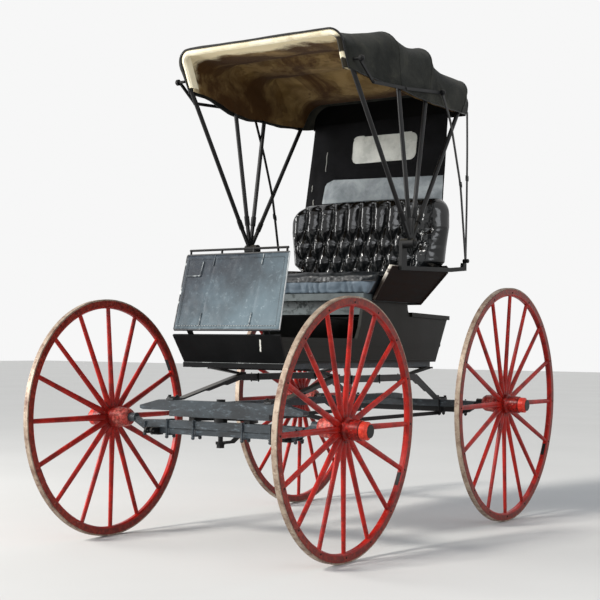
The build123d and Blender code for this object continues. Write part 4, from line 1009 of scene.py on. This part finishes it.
def cushion_mesh():
    """Closed form: profile from front to back, drawn in at the ends, with a front roll and a pleated fall."""
    profile = [(0.792, 1.1655), (0.782, 1.168), (0.778, 1.178), (0.775, 1.198), (0.772, 1.214),
               (0.770, 1.221), (0.7655, 1.226), (0.762, 1.235), (0.762, 1.248), (0.768, 1.259),
               (0.780, 1.2665), (0.796, 1.268),
               (0.812, 1.264), (0.822, 1.259), (0.836, 1.262), (0.90, 1.270), (1.00, 1.274), (1.10, 1.274),
               (1.20, 1.272), (1.30, 1.267), (1.345, 1.262), (1.360, 1.250), (1.354, 1.225), (1.338, 1.190),
               (1.322, 1.1665)]
    cols = 240
    verts = []
    for j in range(cols):
        s = 2 * j / (cols - 1) - 1
        a = abs(s)
        for y, z in profile:
            share = max(0.0, min(1.0, (z - CUSHION_FOOT) / 0.10))
            x = s * (CUSHION_HALF + CUSHION_WIDER * share)
            end = 1.0
            if a > CUSHION_END:
                t = (a - CUSHION_END) / (1 - CUSHION_END)
                end = math.sqrt(max(0.0, 1 - t * t))
            yy = CUSHION_Y + (y - CUSHION_Y) * (0.965 + 0.035 * end)
            zz = CUSHION_Z + (z - CUSHION_Z) * (0.80 + 0.20 * end) if z > CUSHION_Z else z
            if y < 0.80 and z < 1.222:
                pleat = abs(math.sin(math.pi * x / 0.046 + 2.6 * ripple(x, 0, 0, 9)))
                yy -= 0.009 * pleat ** 0.6 * (0.5 + 0.5 * soft_step(1.222 - z, 0.0, 0.02)) - 0.001
                yy += 0.006 * ripple(x, 0, z, 15, 2.0) + 0.003 * ripple(x, 0, z, 40, 5.0)
            elif y < 0.81:
                yy += 0.005 * ripple(x, 0, z, 14, 5.0) + 0.0025 * ripple(x, 0, z, 46, 3.0)
                zz += 0.004 * ripple(x, 0, 0, 11, 9.0)
            else:
                zz += 0.004 * ripple(x, y, 0, 10, 1.0)
            verts.append(Vector((x, F + yy, zz)))
    return verts, ring_faces(cols, len(profile))


cushion = piece("seat_cushion_leather", cushion_mesh(), cushion_leather, angle=60)
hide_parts("seat_cushion")


def swell(obj, cap, frames=14, pressure=4.0, voxel=0.006):
    """Cloth pass: the pad swells a little and wrinkles, with each point held near its start."""
    rem = obj.modifiers.new("remesh", "REMESH")
    rem.mode = "VOXEL"
    rem.voxel_size = voxel
    bpy.context.view_layer.objects.active = obj
    with bpy.context.temp_override(object=obj, active_object=obj, selected_objects=[obj]):
        bpy.ops.object.modifier_apply(modifier=rem.name)
    start = [p.co.copy() for p in obj.data.vertices]
    mod = obj.modifiers.new("cloth", "CLOTH")
    mod.settings.use_pressure = True
    mod.settings.uniform_pressure_force = pressure
    mod.settings.effector_weights.gravity = 0.0
    mod.settings.quality = 5
    mod.settings.tension_stiffness = 12
    mod.settings.compression_stiffness = 12
    mod.settings.bending_stiffness = 0.4
    mod.point_cache.frame_end = frames
    scene = bpy.context.scene
    for number in range(1, frames + 1):
        scene.frame_set(number)
    done = obj.evaluated_get(bpy.context.evaluated_depsgraph_get())
    moved = [p.co.copy() for p in done.data.vertices]
    obj.modifiers.remove(mod)
    for p, a, b in zip(obj.data.vertices, start, moved):
        d = b - a
        if d.length > cap:
            d = d.normalized() * cap
        p.co = a + d
    scene.frame_set(1)
    obj.data.update()


swell(cushion, 0.005)
smooth(cushion, 80)

# Piping along the cushion's front roll
piping = []
for z, y, half in ((1.2235, 0.7665, 0.350), (1.2615, 0.816, 0.352)):
    line = []
    for i in range(61):
        x = half * (2 * i / 60 - 1)
        line.append((x, F + y + 0.002 * ripple(x, 0, 0, 12, z), z + 0.002 * ripple(x, 1, 0, 12, z)))
    piping.append(tube(line, 0.0032))
piece("cushion_piping", joined(piping), bow_leather)


# Dash

# Lean of the panel and a point of its middle; its foot, height, half widths at the foot and the top;
# the seams at the top and the foot
LEAN, DASH_Y, DASH_Z = 0.090 / 0.351, F + 0.027, 0.972
DASH_FOOT, DASH_TALL, DASH_HALF_FOOT, DASH_HALF_TOP = 0.974, 0.347, 0.291, 0.283
DASH_SEAMS = ((-0.118, -0.150), (0.152, 0.128))


def dash_point(x, z, off):
    y = DASH_Y + LEAN * (z - DASH_Z)
    length = math.hypot(1, LEAN)
    return Vector((x, y - off / length, z + off * LEAN / length))


def dash_mesh():
    rows, cols = 60, 90
    front, back = [], []
    for i in range(rows):
        t = i / (rows - 1)
        z = DASH_FOOT + DASH_TALL * t
        half = DASH_HALF_FOOT + (DASH_HALF_TOP - DASH_HALF_FOOT) * t
        for j in range(cols):
            s = 2 * j / (cols - 1) - 1
            x = s * half
            edge = min(1 - abs(s), 2 * t * 0.6, 2 * (1 - t) * 0.6)
            rim = math.exp(-((edge - 0.03) / 0.022) ** 2)
            seams = 0.0
            for x_top, x_low in DASH_SEAMS:
                seams += math.exp(-((x - x_low - (x_top - x_low) * t) / 0.006) ** 2)
            dents = 0.0035 * ripple(x, 0, z, 9, 2.2) + 0.0012 * ripple(x, 0, z, 34, 6.0)
            puff = 0.0045 * min(1.0, edge / 0.08)
            off = 0.0035 + 0.0030 * rim - 0.0014 * seams + dents * min(1.0, edge / 0.05) + puff * 0.4
            front.append(dash_point(x, z, off))
            back.append(dash_point(x, z, -0.0055 - 0.0015 * ripple(x, 0, z, 8, 8.0)))
    return slab(front, back, rows, cols)
dash = piece("dash_leather_panel", dash_mesh(), dash_hide(), angle=60)
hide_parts("dash")

# Its edges: right, top, left, foot
corners = [(-0.291, 0.975), (-0.2835, 1.3215), (0.2835, 1.3215), (0.291, 0.975)]
rolls = []
for (xa, za), (xb, zb) in zip(corners, corners[1:] + corners[:1]):
    a, b = dash_point(xa, za, 0.0), dash_point(xb, zb, 0.0)
    line = [a.lerp(b, i / 24) + Vector((0, 0.0008 * ripple(i, 1, xa, 0.7), 0)) for i in range(25)]
    rolls.append(tube(line, 0.0038 if xa > 0 and xb > 0 else 0.0062))
piece("dash_edge_roll", joined([rolls[1], rolls[3]]), dark_edge)
piece("dash_left_roll", rolls[0], chipped_edge)
dashes = []
for i in range(38):
    x = -0.276 + 0.0147 * i
    drop = 0.0012 * ripple(x, 0, 0, 30, 2.0)
    ends = [dash_point(x, 0.9895 + drop, 0.0105), dash_point(x + 0.007, 0.9895 - drop, 0.0105)]
    dashes.append(tube(ends, 0.0012, 6))
piece("dash_stitches", joined(dashes), pale_stitch_and_highlight)
# Pale left (+X) edge strip: painted highlight
piece("dash_edge_highlight_strip", rolls[2], pale_stitch_and_highlight)


def stitches(points, off, step=0.009, length=0.0055, radius=0.0009):
    """Short thread lengths along a line of (x, z) places on the dash."""
    made = []
    for (xa, za), (xb, zb) in zip(points[:-1], points[1:]):
        run = math.hypot(xb - xa, zb - za)
        for i in range(int(run / step)):
            u = (i + 0.3) * step / run
            w = u + length / run
            p, q = [dash_point(xa + (xb - xa) * k, za + (zb - za) * k, off) for k in (u, w)]
            made.append(tube([p, q], radius, 5))
    return made


# Pocket with two raised edges, and the folds at the ends of the seams: height, radius, two ends
folds = [(0.0075, 0.0030, (-0.268, 1.222), (-0.190, 1.222)),
         (0.0075, 0.0022, (-0.190, 1.222), (-0.180, 1.290))]
for x_top, x_low in DASH_SEAMS:
    folds += [(0.0070, 0.0024, (x_top, 1.316), (x_top - 0.005, 1.268)),
              (0.0070, 0.0020, (x_low, 0.990), (x_low + 0.004, 1.050))]
folds = [tube([dash_point(x, z, off) for x, z in ends], radius) for off, radius, *ends in folds]
# The pale raised pocket edges and seam folds are painted highlights
piece("dash_pocket_edges", joined(folds), fold_highlight_paint)
sewn = stitches([(-0.270, 0.992), (-0.266, 1.30), (0.266, 1.30), (0.272, 0.992), (-0.270, 0.992)], 0.0075)
piece("dash_stitches", joined(sewn), thread_grey)


# Straps with buckles
def strap(name, points, width=0.020, thick=0.0035, across=(0, 1, 0)):
    fine = []
    for a, b in zip(points[:-1], points[1:]):
        a, b = Vector(a), Vector(b)
        n = max(2, int((b - a).length / 0.04))
        fine += [a.lerp(b, i / n) for i in range(n)]
    fine.append(Vector(points[-1]))
    for i in range(1, len(fine) - 1):
        fine[i] = (fine[i - 1] + fine[i] * 2 + fine[i + 1]) / 4
    return piece(name, ribbon(fine, width, thick, across), strap_leather, angle=60)


def buckle(name, at, across, along, width=0.030, height=0.026):
    at, across, along = Vector(at), Vector(across).normalized(), Vector(along).normalized()
    corners = [at + across * sx * width / 2 + along * sy * height / 2
               for sx, sy in ((-1, -1), (1, -1), (1, 1), (-1, 1))]
    loop = []
    for a, b in zip(corners, corners[1:] + corners[:1]):
        loop += [a.lerp(b, i / 4) for i in range(4)]
    tongue = [at - along * height / 2, at + along * height / 2]
    form = joined([tube(loop, 0.0022, closed=True), tube(tongue, 0.0016, 6)])
    return piece(name, form, black_iron)


strap("strap_joint_left", [(0.521, F + 1.150, 2.172), (0.519, F + 1.245, 2.05), (0.492, F + 1.42, 1.74),
                           (0.446, F + 1.578, 1.362)])
buckle("buckle_joint_left", (0.4945, F + 1.413, 1.752), (0, 1, -0.2), (0.1, -0.4, 0.9))
strap("strap_joint_right", [(-0.490, F + 0.950, 2.125), (-0.487, F + 1.040, 1.93), (-0.477, F + 1.110, 1.715),
                            (-0.464, F + 1.155, 1.42), (-0.458, F + 1.165, 1.335)])
buckle("buckle_joint_right", (-0.4720, F + 1.1275, 1.600), (0, 1, -0.2), (-0.04, -0.15, 0.98))
for tag, x in (("left", 1), ("right", -1)):
    strap("strap_rear_" + tag, [(x * 0.470, F + 1.5415, 2.150), (x * 0.468, F + 1.549, 1.95),
                                (x * 0.457, F + 1.568, 1.66), (x * 0.441, F + 1.590, 1.356)])
    buckle("buckle_rear_" + tag, (x * 0.4625, F + 1.559, 1.80), (0, 1, 0), (0, 0, 1))


# Hardware

# Radius and height of a nut; half width of a plate across the bed; legs of the front clips from the
# middle of the bed, and their radius
NUT_R, NUT_H, HALF_PLATE, LEG_Y, LEG_R = 0.0088, 0.011, 0.0235, 0.026505, 0.0042
hard = {"front_gear": [], "carriage": []}


def plate(body, x, y, half_x, half_y, low, high, bevel=0.001):
    hard[body].append(block((x - half_x, y - half_y, low), (x + half_x, y + half_y, high), bevel))


def leg(body, x, y, low, high, radius=LEG_R):
    hard[body].append(tube([(x, y, low), (x, y, high)], radius))


# Clips of the front bed, with a plate below, a crown above, and two legs with nuts
for x in (-0.415, -0.285, -0.135, 0.135, 0.285, 0.415):
    low = 0.4965 + max(0.0, abs(x) - 0.402) / 0.096 * 0.06
    top = 0.5605 - max(0.0, abs(x) - 0.342) * 0.20
    plate("front_gear", x, F, 0.013, HALF_PLATE, low - 0.006, low)
    plate("front_gear", x, F, 0.011, HALF_PLATE, top, top + 0.0045)
    for y in (F - LEG_Y, F + LEG_Y):
        leg("front_gear", x, y, low - 0.020, top + 0.004)
        hard["front_gear"].append(nut((x, y, low - 0.0175), NUT_R, NUT_H))

# Clips of the rear bed
for x in (-0.40, -0.27, 0.27, 0.40):
    plate("carriage", x, REAR, 0.013, HALF_PLATE, 0.5515, 0.5575)
    for y in (REAR - 0.0265, REAR + 0.0265):
        leg("carriage", x, y, 0.538, 0.626)
        hard["carriage"].append(nut((x, y, 0.541), NUT_R, NUT_H))

# Plates where the side springs rest on the beds, and the clips that hold the springs to the body
for x in (-0.27, 0.27):
    for y, z in ((F, 0.661), (REAR, 0.631)):
        plate("carriage", x, y, 0.024, 0.018, z, z + 0.006)
        hard["carriage"] += [nut((x + dx, y, z + 0.005), 0.008, 0.009) for dx in (-0.0215, 0.0215)]
for x in (-0.27, 0.27):
    for y in (F + 0.93, F + 0.66, F + 1.2):
        plate("carriage", x, y, 0.023, 0.009, 0.7275, 0.731, 0.0008)
        for dx in (-0.0215, 0.0215):
            leg("carriage", x + dx, y, 0.723, 0.768, 0.003)
piece("clips_and_nuts_front_gear", joined(hard["front_gear"]), beam_paint, "front_gear")
piece("clips_and_nuts_carriage", joined(hard["carriage"]), black_iron)

# Wheels: tyre bolts, rivets through the hub bands, iron plates at the two joints of the rim
SPOKES, BANDS, PLATE_TURN = 16, 8, 0.12
for name, (centre, axis, radius) in wheel_axes.items():
    up = (Vector((0, 0, 1)) - axis * axis.z).normalized()
    across = axis.cross(up).normalized()
    body = "wheel_" + name + "_set"

    def on_wheel(turn, away, along):
        return centre + axis * along + (up * math.cos(turn) + across * math.sin(turn)) * away

    bolts = [dome(on_wheel(2 * math.pi * k / SPOKES, radius - 0.0255, 0.0335), axis, 0.0048, 0.0035, 8)
             for k in range(SPOKES)]
    bolts += [dome(on_wheel(2 * math.pi * (k + 0.5) / BANDS, 0.036, 0.0868), axis, 0.0042, 0.003, 8)
              for k in range(BANDS)]
    plates = []
    for k in (0, 1):
        middle = math.pi * k + math.pi / SPOKES * 5 + 0.10
        places = [(middle + (j / 7 - 0.5) * PLATE_TURN, 0.011 + 0.009 * i)
                  for i in range(3) for j in range(8)]
        front = [on_wheel(turn, radius - 0.0435, along) for turn, along in places]
        back = [on_wheel(turn, radius - 0.0405, along) for turn, along in places]
        plates.append(slab(front, back, 3, 8))
    piece("wheel_bolts_" + name, joined(bolts), black_iron, body)
    piece("rim_plates_" + name, joined(plates), black_iron, body)

# Top: knobs on the joint studs (place on the left side, radius, height, sides), sockets of the bows
KNOBS = [(0.527, F + 0.328, 2.203, 0.012, 0.010, 16), (0.527, F + 1.145, 2.183, 0.012, 0.010, 16),
         (0.515, F + 0.455, 2.118, 0.009, 0.006, 14), (0.515, F + 0.770, 2.141, 0.009, 0.006, 14),
         (0.4975, PIVOT[1], PIVOT[2], 0.017, 0.012, 18)]
knobs = []
for side in (-1, 1):
    knobs += [dome((side * x, y, z), (side, 0, 0), *sizes) for x, y, z, *sizes in KNOBS]
    for lean, half, reach, room in BOWS:
        a = bow_point(side * PIVOT[0], BOW_START + 0.0005, lean)
        b = bow_point(side * (PIVOT[0] + (half - PIVOT[0]) * 0.055), BOW_START + 0.05, lean)
        knobs.append(tube([a, a.lerp(b, 0.15), b], 0.0135, 14))
piece("top_knobs_and_sockets", joined(knobs), black_iron)

# Rollers where the lowered top would rest
rows = [(-0.016, 0.009), (-0.014, 0.011), (0.014, 0.011), (0.016, 0.009)]
rollers = [spun(rows, (side * 0.446, F + 1.583, 1.3625), (1, 0, 0)) for side in (-1, 1)]
piece("prop_rollers", joined(rollers), black_iron)

# Worn edge strips of the seat sides, up the front and along the top
strips = []
for side in (-1, 1):
    low, high = Vector((side * 0.3033, F + 0.8425, 1.136)), Vector((side * 0.4137, F + 0.8135, 1.2985))
    rear = Vector((side * 0.4137, F + 1.3995, 1.3005))
    line = [low.lerp(high, i / 12) for i in range(13)]
    strips.append(tube(line, 0.0085, 10, flat=0.35, up=(0, 1, 0)))
    line = [high.lerp(rear, i / 20) for i in range(21)]
    strips.append(tube(line, 0.0105, 10, flat=0.3))
piece("seat_side_edges", joined(strips), panel_edge)

# Thin line mouldings on the body sides and along the foot of the front board
lines = [tube([(x, F + 0.128, 0.838), (x, F + 1.535, 0.838)], 0.0032) for x in (-0.2802, 0.2802)]
piece("body_lines", joined(lines), body_black)
bead = [(-0.281 + 0.0281 * i, F + 0.0900, 0.8250) for i in range(21)]
piece("front_bead", tube(bead, 0.0013, 6), bead_paint)


# Floor, light, camera

def in_scene(obj):
    bpy.context.scene.collection.objects.link(obj)
    return obj


bm = bmesh.new()
bmesh.ops.create_grid(bm, x_segments=1, y_segments=1, size=40)
mesh = bpy.data.meshes.new("studio_floor")
bm.to_mesh(mesh)
bm.free()
mesh.materials.append(studio_grey())
floor = in_scene(bpy.data.objects.new("studio_floor", mesh))
floor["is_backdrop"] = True

world = bpy.data.worlds.new("studio")
bpy.context.scene.world = world
world.use_nodes = True
tree = world.node_tree
tree.nodes.clear()


def backdrop(colour, strength):
    made = tree.nodes.new("ShaderNodeBackground")
    made.inputs["Color"].default_value = colour
    made.inputs["Strength"].default_value = strength
    return made.outputs[0]


# The camera, gloss and glass see the pale backdrop; the rest of the light comes from a cooler sky
path = tree.nodes.new("ShaderNodeLightPath")
seen = path.outputs["Is Camera Ray"]
for ray in ("Is Glossy Ray", "Is Transmission Ray"):
    total = tree.nodes.new("ShaderNodeMath")
    total.operation = "ADD"
    total.use_clamp = True
    tree.links.new(seen, total.inputs[0])
    tree.links.new(path.outputs[ray], total.inputs[1])
    seen = total.outputs[0]
mix = tree.nodes.new("ShaderNodeMixShader")
out = tree.nodes.new("ShaderNodeOutputWorld")
sky, pale = backdrop((0.80, 0.86, 0.95, 1), 0.52), backdrop((0.93, 0.93, 0.93, 1), 1.0)
for start, end in ((seen, mix.inputs[0]), (sky, mix.inputs[1]), (pale, mix.inputs[2]),
                   (mix.outputs[0], out.inputs[0])):
    tree.links.new(start, end)


def lamp(name, kind, power, colour, direction, at=(0, 0, 0)):
    data = bpy.data.lights.new(name, kind)
    data.energy = power
    data.color = colour
    obj = in_scene(bpy.data.objects.new(name, data))
    obj.location = at
    obj.rotation_euler = Vector(direction).to_track_quat("-Z", "Y").to_euler()
    return data


# Soft boxes: place, target, width and height, power, colour
SOFT_BOXES = {"key": ((-5.5, -4.1, 2.5), (0, 0, 1.3), (2.6, 3.2), 470, (1, 0.99, 0.97)),
              "fill": ((5.6, -2.2, 2.6), (0, 0, 1.0), (3.0, 2.4), 80, (0.93, 0.96, 1))}
for name, (at, target, size, power, colour) in SOFT_BOXES.items():
    soft = lamp(name, "AREA", power, colour, Vector(target) - Vector(at), at)
    soft.shape = "RECTANGLE"
    soft.size, soft.size_y = size
lamp("sun", "SUN", 2.7, (1, 0.97, 0.92), (0.24, 0.80, -0.64)).angle = math.radians(9)

# Camera fitted to the photograph: angles in radians, place, focal length and shift in pixels of 600
YAW, PITCH, ROLL = 0.60400, 0.03930, 0.01009
FRAME, FOCAL, SHIFT_X, SHIFT_Y, SENSOR = 600, 1290.77, 46.22, -7.21, 36
eye = Vector((3.40569, -4.68546 + F, 0.91380))
forward = Vector((-math.sin(YAW) * math.cos(PITCH), math.cos(YAW) * math.cos(PITCH), math.sin(PITCH)))
level = Vector((math.cos(YAW), math.sin(YAW), 0))
right = level * math.cos(ROLL) + level.cross(forward) * math.sin(ROLL)
upward = right.cross(forward)
camera = in_scene(bpy.data.objects.new("camera", bpy.data.cameras.new("camera")))
camera.matrix_world = Matrix(((right.x, upward.x, -forward.x, eye.x),
                              (right.y, upward.y, -forward.y, eye.y),
                              (right.z, upward.z, -forward.z, eye.z),
                              (0, 0, 0, 1)))
camera.data.sensor_width = SENSOR
camera.data.lens = FOCAL * SENSOR / FRAME
camera.data.shift_x = SHIFT_X / FRAME
camera.data.shift_y = SHIFT_Y / FRAME
camera.data.clip_end = 200
bpy.context.scene.camera = camera
bpy.context.scene.view_settings.view_transform = "Standard"

low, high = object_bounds()
